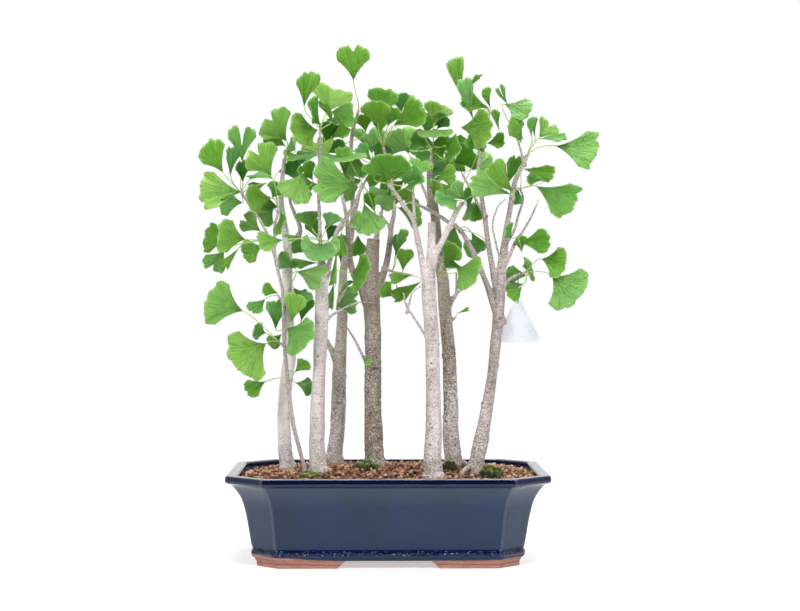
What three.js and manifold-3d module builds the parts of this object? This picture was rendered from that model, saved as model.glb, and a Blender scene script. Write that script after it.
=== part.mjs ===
// Ginkgo bonsai: a small forest of ginkgo stems in a glazed oblong pot.
// Millimetres, +Z up. The origin is on the table under the middle of the whole plant.
// The pot, the soil and the moss are turned and lofted, every stem is a bent tapered tube
// with its limbs joined on, and every spur carries one tuft of fan leaves.
import * as THREE from "three";
import { mergeVertices } from "three/addons/utils/BufferGeometryUtils.js";
import Module from "manifold-3d";

const wasm = await Module();
wasm.setup();

// ---------------------------------------------------------------- driving dimensions

const FOREST_MIDDLE_X = 12.8; // the crown reaches further to the right than the pot does
const GAP = 0.3; // running gap between pieces that lie on each other
const SEAM = 0.05; // slivers smaller than this are closed up where joined pieces meet
const TAPER = 0.727; // width lost for each millimetre of length, from lip to base
const CHAMFER_TAPER = 0.4935; // corner cut lost for each millimetre of length

const POT_HALF_LENGTH = 200;
const POT_HALF_WIDTH = 140.5;
const POT_CHAMFER = 46;
const POT_FOOT_HEIGHT = 9.2;
const POT_FLOOR = 18.5;
const FOOT_RING_INSIDE = 139; // half length of the hollow between the feet
const FOOT_GAP_LONG = [62, 52]; // half gap between two feet along the front: table, body
const FOOT_GAP_SHORT = [36, 28]; // the same along the short sides
const DRAIN_X = 78;
const DRAIN_RADIUS = 12;
const SCREEN_SIDE = 40;
const SCREEN_THICK = 1;
const SCREEN_BARS = 2;
const SCREEN_SLOT = 15;

const SOIL_EDGE = 103.5; // soil height beside the wall
const SOIL_CROWN = 12; // how far the mound rises above that
const GRAIN_PITCH = 28;
const GRAIN_RISE = 4.2;
const ROOT_DEPTH = 42; // how far each stem reaches down into the soil

const BLADE_THICK = 0.9;
const BLADE_FOOT = 1.1; // half width of the blade where the stalk meets it
const STALK_HALF = 0.72;

const TAG = { x: 163, y: -38.6, top: 327, height: 54, half: 28, hole: 2.2, thick: 0.8 };
const THREAD_RADIUS = 0.45;

// Half length and height of each ring of the pot, from the underside up the outer wall,
// over the rolled lip and down the inner wall to the floor.
const POT_OUTSIDE = [
  [163.5, 9.2], [167.2, 12], [168.6, 16.5], [168, 19.6], [166.6, 21], [168.4, 27],
  [170.8, 40], [174.2, 60], [179, 79], [184.8, 90], [191.8, 98.6], [198.4, 101.8],
  [200, 103.6], [199.5, 109.2], [197.4, 111],
];
const POT_INSIDE = [
  [187.6, 111], [185, 108.6], [184.6, 103], [176, 90], [169, 76], [164.5, 58],
  [160.5, 36], [156, 22], [150, POT_FLOOR],
];

// Stems and limbs: points [x, y, z, radius] in the pot's frame, from the ground upwards.
const TREES = [
  {
    stem: [[-127, -6, 113, 10.2], [-131, -6, 140, 8.9], [-132, -6, 189, 7.9], [-127, -6, 238, 8.3],
      [-124, -6, 260, 7.6], [-127, -6, 313, 7], [-128, -5, 364, 6.7], [-127, -5, 389, 5.7],
      [-133, -4, 427, 4.5], [-136, -2, 459, 3.5], [-132, 0, 502, 2.5]],
    limbs: {
      fork: [[-127, -5, 386, 3.5], [-111, -8, 413, 2.9], [-122, -10, 444, 2.3], [-124, -11, 453, 1.9]],
      front: [[-126, -7, 333, 3], [-124, -17, 340, 1.9]],
    },
  },
  {
    stem: [[-104, -35, 112, 2.9], [-112, -35, 143, 2.6], [-120, -35, 176, 2.8], [-127, -35, 239, 2.5],
      [-130, -35, 271, 2.5], [-131, -35, 303, 2.3], [-132, -35, 335, 2.2], [-136, -35, 355, 2.1],
      [-141, -35, 376, 2], [-142, -35, 393, 1.9], [-142, -36, 418, 1.8], [-139, -36, 430, 1.6]],
    limbs: {
      left: [[-141, -35, 379, 1.9], [-150, -37, 406, 1.8], [-167, -38, 437, 1.6], [-178, -40, 452, 1.6],
        [-181, -41, 456, 1.5]],
      mid: [[-142, -35, 396, 1.8], [-147, -42, 399, 1.5]],
      low: [[-130, -35, 267, 2], [-134, -40, 271, 1.5]],
      facing: [[-130, -35, 282, 2], [-128, -41, 287, 1.5]],
      lowest: [[-126, -35, 220, 2], [-122, -40, 225, 1.5]],
      upper: [[-132, -35, 323, 1.9], [-136, -39, 329, 1.5]],
    },
  },
  {
    stem: [[-87, -39, 113, 11.6], [-89, -39, 143, 10], [-88, -39, 191, 9.2], [-86, -39, 239, 8],
      [-85, -39, 262, 8.8], [-83, -39, 303, 8.6], [-83, -39, 351, 7.5], [-83, -39, 373, 5],
      [-84, -39, 383, 2.8], [-86, -39, 437, 2.3], [-87, -39, 457, 2.1], [-86, -38, 501, 1.9],
      [-85, -37, 535, 1.8]],
    limbs: {
      right: [[-81, -39, 338, 3.8], [-73, -38, 373, 3.1], [-68, -36, 398, 3], [-63, -34, 414, 2.9],
        [-54, -31, 427, 2.8], [-41, -27, 447, 2.5], [-35, -23, 464, 2.1], [-33, -22, 468, 1.9]],
      cup: [[-84, -39, 390, 2], [-84, -46, 397, 1.5]],
      side: [[-80, -41, 351, 2.6], [-71, -47, 360, 1.6]],
      fold: [[-60, -34, 415, 2.1], [-56, -40, 418, 1.5]],
      bare: [[-79, -42, 299, 2.3], [-71, -45, 306, 1.9], [-52, -50, 317, 1.6], [-34, -53, 323, 1.2],
        [-19, -55, 322, 1]],
    },
  },
  {
    stem: [[-70, 62, 120, 10.9], [-66, 62, 151, 9.8], [-64, 62, 185, 9.8], [-63, 61, 235, 9.2],
      [-61, 60, 268, 7.9], [-59, 59, 302, 7.2], [-58, 57, 345, 6.2], [-57, 56, 367, 5.2],
      [-47, 53, 409, 3.9], [-45, 49, 456, 3.3], [-47, 45, 508, 2.9], [-46, 42, 540, 2.6],
      [-38, 40, 570, 1.9]],
    limbs: {
      stub: [[-65, 61, 242, 4.6], [-72, 60, 258, 4.3], [-79, 59, 270, 3.9]],
      inner: [[-47, 46, 499, 2.3], [-54, 33, 515, 1.9], [-58, 22, 522, 1.7]],
      low: [[-59, 58, 299, 3.3], [-63, 40, 310, 2.2], [-65, 24, 314, 1.7]],
      back: [[-45, 51, 431, 2.6], [-36, 64, 467, 2], [-21, 78, 496, 1.7]],
    },
  },
  {
    stem: [[-17, 3, 118, 12.8], [-18, 3, 156, 12.1], [-19, 3, 188, 10.9], [-19, 3, 238, 10.9],
      [-19, 3, 286, 10.6], [-21, 3, 331, 10.9], [-20, 3, 380, 8.9], [-18, 3, 404, 8.3]],
    limbs: {
      left: [[-24, 3, 318, 5.7], [-33, 3, 338, 4.8], [-46, 4, 366, 4.5], [-50, 6, 394, 3.8],
        [-52, 14, 428, 2.8], [-59, 28, 461, 2.2], [-67, 38, 485, 1.8]],
      right: [[-15, 3, 336, 5.7], [-7, 2, 355, 4.8], [0, 2, 380, 4.1], [5, 1, 421, 3.2],
        [8, 0, 438, 2.9], [6, 0, 472, 2.5], [-1, 0, 504, 2.2], [-5, 0, 517, 1.9]],
      twig: [[4, 1, 413, 2.2], [1, 1, 421, 1.9], [-9, 0, 435, 1.5]],
      shade: [[-4, 2, 365, 2.8], [3, -6, 363, 1.7]],
      lower: [[-26, 1, 244, 2.4], [-33, -5, 257, 2], [-42, -8, 275, 1.8], [-59, -10, 303, 1]],
      tiny: [[-23, -2, 241, 2.4], [-28, -11, 251, 1.3]],
      top: [[-18, 5, 390, 3.8], [-11, 24, 421, 2.3], [-6, 38, 448, 1.7]],
    },
  },
  {
    stem: [[56, -74, 109, 12.9], [55, -74, 130, 11.4], [56, -74, 162, 10.2], [56, -74, 193, 9.4],
      [55, -74, 240, 8.9], [54, -74, 280, 9.1], [51, -74, 319, 9.1], [50, -74, 350, 8.5],
      [53, -74, 382, 5.5], [54, -74, 422, 4.9]],
    limbs: {
      left: [[48, -74, 343, 4.3], [41, -74, 378, 3.7], [35, -74, 407, 3.4], [30, -74, 426, 3.1],
        [19, -74, 442, 2.8], [10, -74, 456, 2.5], [2, -74, 466, 2.1]],
      second: [[36, -74, 399, 2.6], [34, -72, 412, 2.3], [32, -71, 436, 2.2], [31, -70, 455, 1.9]],
      right: [[53, -74, 363, 4.3], [59, -74, 382, 4], [76, -73, 417, 3.7], [84, -72, 434, 3.3],
        [90, -71, 443, 2.8]],
      lower: [[52, -76, 268, 2.6], [45, -79, 283, 2], [29, -82, 308, 1.6], [22, -83, 319, 1.5],
        [19, -84, 332, 1.1]],
      lowfork: [[24, -83, 315, 1.4], [29, -84, 334, 1.2], [38, -85, 341, 1]],
    },
  },
  {
    stem: [[84, -13, 115, 12], [80, -13, 157, 10.5], [80, -13, 189, 9.5], [79, -13, 222, 9.3],
      [78, -13, 254, 8.5], [75, -13, 286, 8.5], [72, -13, 319, 8.1], [70, -13, 351, 7.6],
      [66, -13, 373, 7], [59, -13, 441, 5.7], [55, -14, 459, 5.1], [53, -17, 490, 3.8],
      [56, -20, 509, 2.3]],
    limbs: {
      front: [[69, -15, 347, 3.2], [64, -29, 353, 1.8]],
      second: [[55, -14, 450, 3.2], [62, -20, 470, 2.3], [66, -25, 479, 1.8]],
      right: [[74, -13, 306, 3.4], [80, -13, 321, 2.5], [87, -13, 335, 2.2], [87, -13, 357, 1.4]],
      rightfork: [[86, -13, 332, 1.6], [102, -13, 345, 1.1]],
      stub: [[76, -13, 294, 2.8], [84, -13, 302, 1.5]],
      back: [[59, -12, 433, 3.2], [49, 10, 461, 2.2], [37, 34, 491, 1.7]],
    },
    root: [[84, -14, 121, 5], [96, -19, 119, 3.8], [104, -24, 114, 3], [110, -28, 105, 2.4]],
  },
  {
    stem: [[109, -48, 115, 10], [117, -48, 154, 9.4], [122, -48, 182, 7.9], [127, -48, 211, 6.9],
      [131, -48, 240, 6.4], [134, -48, 268, 6.9], [137, -48, 297, 6.9], [139, -48, 326, 7.2],
      [141, -48, 357, 6.7], [142, -48, 369, 5.9], [145, -48, 389, 5], [149, -48, 421, 3.7],
      [152, -48, 437, 3.5], [157, -48, 468, 3.2], [163, -48, 484, 3.1], [171, -49, 499, 2.5],
      [173, -50, 505, 2.1]],
    limbs: {
      left: [[139, -48, 333, 4.4], [133, -48, 349, 3.9], [130, -48, 368, 3.6], [125, -47, 397, 3.4],
        [121, -46, 429, 3.2], [118, -45, 448, 3], [114, -44, 477, 2.7], [113, -43, 493, 2.6],
        [116, -43, 507, 2.5], [122, -42, 525, 2], [126, -41, 547, 1.6], [127, -40, 559, 1.5]],
      leftshoot: [[121, -42, 519, 2], [120, -49, 523, 1.5]],
      long: [[138, -48, 307, 5], [124, -46, 344, 3.7], [110, -44, 378, 3.5], [95, -42, 407, 3.1],
        [89, -41, 415, 2.9], [78, -39, 422, 2.7], [66, -38, 430, 2.5], [52, -38, 438, 2.2],
        [35, -38, 446, 1.8], [24, -38, 448, 1.5]],
      longshoot: [[90, -42, 412, 2.1], [89, -50, 414, 1.5]],
      thin: [[142, -49, 371, 2.4], [138, -54, 382, 1.6], [133, -57, 401, 1.4], [130, -58, 420, 1.4],
        [136, -57, 441, 1.2], [144, -56, 449, 1.1]],
      barea: [[145, -48, 370, 3.1], [153, -48, 384, 2.5], [160, -48, 400, 2.2], [168, -48, 411, 1.9],
        [179, -48, 430, 1.5], [187, -48, 448, 1.1]],
      bareb: [[150, -46, 401, 2.2], [158, -40, 412, 1.9], [164, -36, 433, 1.8], [170, -34, 452, 1.6],
        [167, -33, 463, 1.4]],
      spurh: [[160, -49, 398, 2], [161, -56, 403, 1.5]],
      low: [[141, -47, 340, 3.4], [150, -44, 350, 2], [160, -41, 356, 1.8], [168, -39, 359, 1.6]],
      spurb: [[156, -48, 463, 2.7], [162, -53, 464, 1.6]],
      spurc: [[156, -48, 453, 2.4], [154, -56, 454, 1.6]],
      spurf: [[170, -48, 497, 1.9], [166, -46, 513, 1.6], [164, -45, 520, 1.5]],
      back: [[120, -45, 434, 2.6], [114, -20, 449, 2], [105, 4, 469, 1.8], [98, 22, 485, 1.7]],
    },
    root: [[109, -49, 120, 4.6], [99, -57, 117, 3.6], [92, -63, 111, 2.8], [88, -66, 103, 2.4]],
  },
];

// Leaf tufts: tree number, limb whose tip carries the tuft, and a row for each leaf:
// x, y, z of the blade's foot; clock is the way the blade points across the front view
// (0 right, 90 up); lean tips it towards the front; face rolls it about its own middle;
// then its length, its spread in degrees and the depth of its notch in hundredths.
const TUFTS = {
  leaves_1_top: [1, "stem", [
    [-128, -10, 527, 128, 30, 20, 48, 92, 30], [-131, 10, 523, 149, 39, 30, 42, 80, 20],
    [-116, -20, 515, 143, -54, 170, 32, 80, 20], [-104, 6, 505, 164, 45, 75, 34, 60, 20]]],
  leaves_1_fork: [1, "fork", [
    [-106, -34, 485, 246, 30, 0, 46, 86, 15], [-95, -6, 478, 125, 15, 20, 26, 90, 20],
    [-146, -22, 454, 59, 25, 0, 25, 90, 20]]],
  leaves_1_front: [1, "front", [
    [-114, -54, 361, 352, 38, 150, 44, 70, 14], [-117, -21, 366, 150, 8, 175, 27, 75, 12],
    [-119, -24, 338, 305, 20, 0, 22, 120, 20], [-118, -34, 341, 304, 48, -20, 34, 80, 20]]],
  leaves_2_left: [2, "left", [
    [-205, -52, 484, 122, 20, 35, 46, 80, 12], [-183, -30, 499, 90, 20, 10, 50, 58, 72],
    [-182, -52, 460, 180, 16, 15, 56, 74, 12], [-197, -38, 481, 90, 13, 60, 40, 70, 20],
    [-172, -44, 476, 60, -58, 150, 38, 90, 20], [-181, -46, 447, 177, 24, -30, 32, 85, 12]]],
  leaves_2_top: [2, "stem", [
    [-145, -52, 480, 122, 27, 10, 48, 86, 35], [-145, -48, 453, 186, 25, 10, 35, 88, 14],
    [-144, -28, 440, 225, -20, 170, 26, 85, 20], [-134, -38, 436, 276, 42, 60, 34, 80, 20]]],
  leaves_2_mid: [2, "mid", [
    [-177, -52, 401, 171, 35, 0, 46, 78, 10], [-200, -38, 401, 173, -38, 10, 42, 80, 12],
    [-204, -44, 388, 229, -38, 160, 40, 66, 30], [-186, -46, 391, 233, 10, 60, 32, 62, 18],
    [-157, -30, 394, 200, 5, -20, 29, 95, 12], [-160, -30, 412, 144, -5, 170, 30, 80, 30]]],
  leaves_2_upper: [2, "upper", [
    [-153, -46, 327, 222, 30, 30, 27, 74, 12], [-137, -42, 334, 162, 15, 20, 22, 64, 8]]],
  leaves_2_low: [2, "low", [
    [-180, -56, 312, 162, 14, 0, 52, 90, 10], [-151, -62, 272, 213, 15, 0, 52, 112, 10],
    [-153, -36, 284, 163, 25, 0, 19, 105, 12], [-134, -32, 283, 228, 5, 150, 22, 90, 12]]],
  leaves_2_facing: [2, "facing", [
    [-126, -52, 291, 326, 32, 0, 43, 108, 12], [-120, -64, 298, 78, 6, 0, 38, 62, 16],
    [-141, -34, 288, 89, -15, 0, 40, 54, 8]]],
  leaves_2_lowest: [2, "lowest", [
    [-153, -42, 224, 208, 18, 20, 29, 76, 14], [-116, -38, 222, 344, -34, 160, 30, 66, 14],
    [-117, -40, 235, 44, 20, 10, 26, 64, 8]]],
  leaves_3_cup: [3, "cup", [
    [-84, -56, 396, 270, 22, 0, 26, 256, 14], [-95, -34, 415, 112, -35, 10, 33, 86, 12],
    [-77, -34, 415, 66, -38, -10, 30, 70, 12], [-130, -66, 400, 188, 30, 25, 37, 66, 12],
    [-107, -24, 405, 180, 48, 70, 30, 60, 20], [-64, -74, 387, 270, 10, 60, 46, 40, 15]]],
  leaves_3_top: [3, "stem", [
    [-87, -52, 537, 188, 32, 20, 40, 112, 14], [-105, -38, 568, 85, 18, 30, 46, 60, 12],
    [-77, -20, 562, 76, -36, 5, 48, 98, 10], [-84, -44, 543, 126, 45, 55, 42, 80, 20],
    [-71, -34, 549, 98, 38, -50, 34, 70, 20], [-73, -22, 563, 350, 34, 20, 44, 56, 12]]],
  leaves_3_fold: [3, "fold", [
    [-58, -44, 411, 268, 5, 20, 32, 52, 20], [-48, -46, 423, 9, 50, -30, 24, 85, 20]]],
  leaves_3_side: [3, "side", [[-45, -58, 359, 354, 51, -10, 36, 130, 15]]],
  leaves_3_right: [3, "right", [
    [-39, -34, 471, 178, 18, 15, 61, 86, 22], [-37, -12, 469, 207, -10, 170, 24, 80, 20],
    [-30, -40, 447, 285, 18, 0, 46, 72, 12]]],
  leaves_4_top: [4, "stem", [
    [-44, 30, 609, 91, 8, 0, 47, 80, 22], [-41, 28, 555, 169, 42, 130, 44, 85, 20]]],
  leaves_4_inner: [4, "inner", [
    [-72, 6, 534, 24, 34, -20, 34, 65, 20], [-59, -8, 509, 270, 70, 0, 38, 190, 20],
    [-38, 20, 511, 262, -14, 170, 30, 95, 20], [-20, 14, 505, 141, 6, 30, 27, 80, 20],
    [-54, -8, 480, 96, -10, 30, 42, 50, 10]]],
  leaves_4_low: [4, "low", [
    [-66, 16, 317, 28, 46, 150, 40, 80, 20], [-65, 26, 327, 68, 26, 60, 34, 45, 20],
    [-60, 24, 372, 92, 3, 30, 38, 46, 8]]],
  leaves_5_right: [5, "right", [
    [0, -12, 546, 72, 29, 0, 32, 78, 20], [-16, -22, 544, 88, 28, 0, 40, 85, 16],
    [-12, 8, 559, 76, 27, 0, 46, 72, 14], [7, -28, 545, 28, 20, -15, 48, 70, 12],
    [22, 4, 568, 47, -47, 0, 36, 85, 20]]],
  leaves_5_shade: [5, "shade", [
    [19, -14, 362, 86, 10, 20, 30, 66, 10], [30, -16, 357, 190, 20, 30, 30, 50, 8],
    [42, -20, 349, 212, 15, 30, 44, 42, 8], [9, -14, 380, 80, 10, 40, 38, 42, 5],
    [8, -24, 330, 146, 10, 20, 22, 90, 10]]],
  leaves_5_tiny: [5, "tiny", [[-28, -14, 253, 304, 45, 0, 13, 80, 15]]],
  leaves_6_left: [6, "left", [
    [0, -88, 471, 78, 28, 0, 42, 112, 18], [20, -80, 467, 72, 18, 0, 30, 100, 20],
    [-17, -80, 473, 99, 30, 0, 28, 78, 16], [0, -66, 461, 203, -54, 150, 32, 80, 20],
    [10, -56, 456, 212, -30, 150, 30, 80, 20]]],
  leaves_6_second: [6, "second", [
    [20, -72, 464, 9, 49, -60, 34, 70, 20], [37, -58, 480, 72, -46, 0, 34, 80, 20]]],
  leaves_6_right: [6, "right", [
    [96, -72, 449, 145, 15, 150, 28, 90, 16], [98, -58, 446, 300, -50, 150, 29, 84, 12],
    [86, -84, 448, 196, 45, 35, 38, 85, 20]]],
  leaves_7_top: [7, "stem", [
    [70, -37, 503, 36, 48, -40, 42, 76, 20], [59, 0, 550, 75, -36, 0, 36, 96, 12],
    [29, 16, 518, 155, 5, 160, 36, 95, 20], [58, -34, 541, 274, 60, 0, 34, 120, 20],
    [73, -30, 519, 225, -28, 20, 21, 80, 16]]],
  leaves_7_second: [7, "second", [
    [72, -18, 489, 34, -48, -20, 34, 85, 20], [60, -54, 478, 8, 14, -10, 27, 84, 20],
    [55, -46, 456, 54, 48, -10, 32, 80, 20], [87, 6, 517, 87, 40, 0, 30, 75, 20]]],
  leaves_7_front: [7, "front", [
    [69, -44, 371, 52, 24, -10, 34, 76, 10], [85, -54, 365, 336, 44, -10, 41, 108, 14]]],
  leaves_7_stub: [7, "stub", [[88, -12, 309, 18, 32, -60, 19, 50, 15]]],
  leaves_8_long: [8, "longshoot", [
    [84, -26, 420, 264, 6, 150, 36, 84, 10], [122, -28, 398, 206, -5, 160, 28, 78, 8]]],
  leaves_8_top: [8, "stem", [
    [208, -62, 517, 349, 18, -20, 57, 72, 12], [189, -46, 529, 47, -41, 0, 34, 80, 25],
    [185, -58, 526, 4, 18, -70, 38, 50, 20], [185, -36, 530, 105, 19, 40, 26, 38, 15],
    [179, -56, 528, 103, 20, 30, 27, 40, 8]]],
  leaves_8_tip: [8, "spurf", [
    [167, -52, 522, 126, 20, 40, 36, 78, 10], [145, -44, 571, 338, 14, -25, 37, 80, 10],
    [158, -36, 553, 336, -50, 150, 34, 90, 20], [150, -40, 571, 126, 20, 30, 28, 48, 78]]],
  leaves_8_left: [8, "left", [
    [95, -30, 577, 110, 12, 30, 57, 36, 10], [107, -44, 551, 112, 15, 35, 55, 40, 8],
    [102, -38, 589, 74, 31, 60, 26, 60, 15], [126, -40, 567, 167, 10, 20, 38, 68, 10],
    [129, -34, 567, 116, 20, 30, 28, 44, 8]]],
  leaves_8_shoot: [8, "leftshoot", [
    [91, -64, 540, 352, 25, 10, 45, 96, 14], [120, -52, 509, 132, 25, 0, 37, 66, 10],
    [123, -50, 521, 6, 20, -20, 25, 76, 12], [141, -26, 539, 112, 4, 60, 29, 46, 10],
    [92, -40, 470, 212, 0, 20, 36, 74, 10]]],
  leaves_8_right: [8, "spurb", [
    [183, -68, 467, 328, 16, -10, 59, 66, 10], [167, -60, 489, 345, 20, 0, 45, 38, 8],
    [194, -42, 475, 162, 34, 0, 30, 66, 10]]],
  leaves_8_inner: [8, "spurc", [
    [156, -60, 460, 140, 15, 10, 50, 62, 10], [152, -74, 456, 164, 15, 0, 60, 44, 10]]],
  leaves_8_middle: [8, "spurh", [
    [163, -58, 397, 3, 20, 0, 42, 62, 10], [154, -62, 402, 135, 44, 20, 27, 75, 20]]],
  leaves_8_low: [8, "low", [
    [191, -52, 377, 344, 32, 0, 40, 84, 12], [203, -64, 356, 318, 22, 0, 50, 108, 10],
    [170, -24, 369, 349, -52, 150, 33, 90, 20], [178, -26, 357, 178, 0, 150, 31, 64, 8],
    [167, -56, 343, 228, 10, 30, 23, 70, 8], [172, -24, 346, 190, -4, 150, 25, 60, 8]]],
  leaves_4_back: [4, "back", [
    [-20, 92, 520, 100, -35, 20, 48, 95, 25], [2, 88, 492, 10, -30, -30, 42, 90, 20],
    [-34, 96, 486, 210, -45, 30, 42, 90, 20]]],
  leaves_5_back: [5, "left", [
    [-78, 54, 508, 120, -30, 20, 46, 90, 25], [-60, 58, 496, 40, -50, -20, 42, 95, 20],
    [-88, 48, 476, 190, -20, 40, 42, 85, 20]]],
  leaves_5_top: [5, "top", [
    [-2, 44, 468, 84, 12, 10, 40, 80, 20], [14, 50, 446, 340, -35, -30, 42, 90, 20]]],
  leaves_7_back: [7, "back", [
    [28, 50, 516, 110, -30, 20, 46, 95, 25], [54, 46, 500, 30, -40, -20, 42, 90, 20],
    [22, 50, 482, 220, -25, 20, 38, 85, 20]]],
  leaves_8_back: [8, "back", [
    [88, 38, 508, 120, -35, 20, 44, 95, 25], [112, 36, 496, 20, -40, -20, 44, 90, 20]]],
};

// Moss cushions: middle, half sizes and rise above the soil.
const MOSS = {
  moss_middle: [-27, -24, 18, 17, 12],
  moss_right: [77, -32, 10, 10, 14],
  moss_far_right: [128, -56, 14, 18, 14],
};

const COLORS = {
  glaze: "#1b2440", soil: "#9a5f3c", moss: "#4c6320", screen: "#2c2c2a",
  bark: ["#cdbfb3", "#a99c90", "#cdbfb3", "#8f8676", "#8d8271", "#cfc1b6", "#8b8474", "#cabdb1"],
  leaf: ["#6fb04c", "#7dbb55", "#62a544"], tag: "#f4f4f2", thread: "#3a3a36",
};

// ---------------------------------------------------------------- tools of this model

// A repeatable draw between 0 and 1.
function seeded(seed) {
  let state = seed;
  return () => {
    state = (state * 16807) % 2147483647;
    return state / 2147483647;
  };
}

function solid(geometry) {
  geometry.deleteAttribute("normal");
  geometry.deleteAttribute("uv");
  const merged = mergeVertices(geometry, 1e-4);
  return new wasm.Manifold(new wasm.Mesh({
    numProp: 3,
    vertProperties: Float32Array.from(merged.attributes.position.array),
    triVerts: Uint32Array.from(merged.index.array),
  }));
}

function fuse(solids) {
  return solids.reduce((sum, next) => sum.add(next));
}

function geometryOf(body) {
  const mesh = body.getMesh();
  const geometry = new THREE.BufferGeometry();
  const points = Float32Array.from(mesh.vertProperties);
  geometry.setAttribute("position", new THREE.BufferAttribute(points, 3));
  geometry.setIndex(Array.from(mesh.triVerts));
  return geometry;
}

function piece(name, body, color, roughness) {
  const material = new THREE.MeshStandardMaterial({ color, roughness, metalness: 0 });
  const mesh = new THREE.Mesh(geometryOf(body.asOriginal().simplify(SEAM)), material);
  mesh.name = name;
  return mesh;
}

// A closed body through rings of points, all with the same number of corners, wound so
// that a ring runs against the clock when it is looked at from the next one.
function loft(rings) {
  const corners = rings[0].length;
  const index = [];
  for (let k = 0; k + 1 < rings.length; k++) {
    for (let j = 0; j < corners; j++) {
      const a = k * corners + j;
      const b = k * corners + ((j + 1) % corners);
      index.push(a, b + corners, a + corners, a, b, b + corners);
    }
  }
  const last = (rings.length - 1) * corners;
  for (let j = 1; j + 1 < corners; j++) {
    index.push(0, j + 1, j, last, last + j, last + j + 1);
  }
  const shape = new THREE.BufferGeometry();
  const points = rings.flat().map((point) => point.toArray());
  shape.setAttribute("position", new THREE.Float32BufferAttribute(points.flat(), 3));
  shape.setIndex(index);
  return solid(shape);
}

// A tapered round tube bent along points [x, y, z, radius].
function limb(path, sides, grow = 0) {
  const at = path.map(([x, y, z]) => new THREE.Vector3(x, y, z));
  let side = new THREE.Vector3(0, -1, 0);
  const rings = at.map((middle, i) => {
    const along = at[Math.min(i + 1, at.length - 1)].clone().sub(at[Math.max(i - 1, 0)]).normalize();
    if (i === 0 && Math.abs(along.y) > 0.9) side = new THREE.Vector3(1, 0, 0);
    side = side.clone().addScaledVector(along, -side.dot(along)).normalize();
    const up = along.clone().cross(side);
    return Array.from({ length: sides }, (_, j) => {
      const turn = (2 * Math.PI * j) / sides;
      const corner = middle.clone().addScaledVector(side, Math.cos(turn) * (path[i][3] + grow));
      return corner.addScaledVector(up, Math.sin(turn) * (path[i][3] + grow));
    });
  });
  return loft(rings);
}

// The eight corners of an oblong with cut corners, against the clock seen from above.
function octagon(a, b, c, z) {
  return [
    [a, -(b - c)], [a, b - c], [a - c, b], [-(a - c), b],
    [-a, b - c], [-a, -(b - c)], [-(a - c), -b], [a - c, -b],
  ].map(([x, y]) => new THREE.Vector3(x, y, z));
}

// A closed stack of such oblongs, each given by its half length and height.
function ringStack(rings, inset = 0) {
  return loft(rings.map(([length, height]) => {
    const width = POT_HALF_WIDTH - (POT_HALF_LENGTH - length) * TAPER;
    const cut = POT_CHAMFER - (POT_HALF_LENGTH - length) * CHAMFER_TAPER;
    return octagon(length - inset, width - inset, cut, height);
  }));
}

function box(x0, y0, z0, x1, y1, z1) {
  const shape = new THREE.BoxGeometry(x1 - x0, y1 - y0, z1 - z0);
  shape.translate((x0 + x1) / 2, (y0 + y1) / 2, (z0 + z1) / 2);
  return solid(shape);
}

// ---------------------------------------------------------------- pot

function gapPrism([below, above], reach, turned) {
  const outline = new THREE.Shape();
  outline.moveTo(-below, -1);
  outline.lineTo(below, -1);
  outline.lineTo(below, 0);
  outline.lineTo(above, POT_FOOT_HEIGHT);
  outline.lineTo(-above, POT_FOOT_HEIGHT);
  outline.lineTo(-below, 0);
  const shape = new THREE.ExtrudeGeometry(outline, { depth: 2 * reach, bevelEnabled: false });
  shape.translate(0, 0, -reach);
  shape.rotateX(Math.PI / 2);
  if (turned) shape.rotateZ(Math.PI / 2);
  return solid(shape);
}

function drainHole(x) {
  const shape = new THREE.CylinderGeometry(DRAIN_RADIUS, DRAIN_RADIUS, 40, 10);
  shape.rotateX(Math.PI / 2);
  shape.translate(x, 0, POT_FLOOR - 10);
  return solid(shape);
}

function pot() {
  const hollow = ringStack([...POT_INSIDE].reverse().concat([[187.6, 112]]));
  const body = ringStack(POT_OUTSIDE).subtract(hollow);
  const feet = ringStack([[161, 0], [163.5, POT_FOOT_HEIGHT + 0.4]])
    .subtract(ringStack([[FOOT_RING_INSIDE, -1], [FOOT_RING_INSIDE, POT_FOOT_HEIGHT]]))
    .subtract(gapPrism(FOOT_GAP_LONG, 160, false))
    .subtract(gapPrism(FOOT_GAP_SHORT, 200, true));
  return fuse([body, feet]).subtract(drainHole(-DRAIN_X)).subtract(drainHole(DRAIN_X));
}

function drainScreen(x) {
  const half = SCREEN_SIDE / 2;
  const pitch = SCREEN_SIDE / SCREEN_BARS;
  const low = POT_FLOOR + GAP;
  const slots = [];
  for (let i = 0; i < SCREEN_BARS; i++) {
    for (let j = 0; j < SCREEN_BARS; j++) {
      const left = x - half + (i + 0.5) * pitch - SCREEN_SLOT / 2;
      const near = -half + (j + 0.5) * pitch - SCREEN_SLOT / 2;
      slots.push(box(left, near, low - 1, left + SCREEN_SLOT, near + SCREEN_SLOT, low + 5));
    }
  }
  return box(x - half, -half, low, x + half, half, low + SCREEN_THICK).subtract(fuse(slots));
}

// ---------------------------------------------------------------- soil and moss

function ground(x, y) {
  const across = 1 - Math.pow(x / 185, 4);
  const deep = 1 - Math.pow((y - 25) / 125, 2);
  return SOIL_EDGE + SOIL_CROWN * Math.max(across, 0) * Math.max(deep, 0);
}

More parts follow.
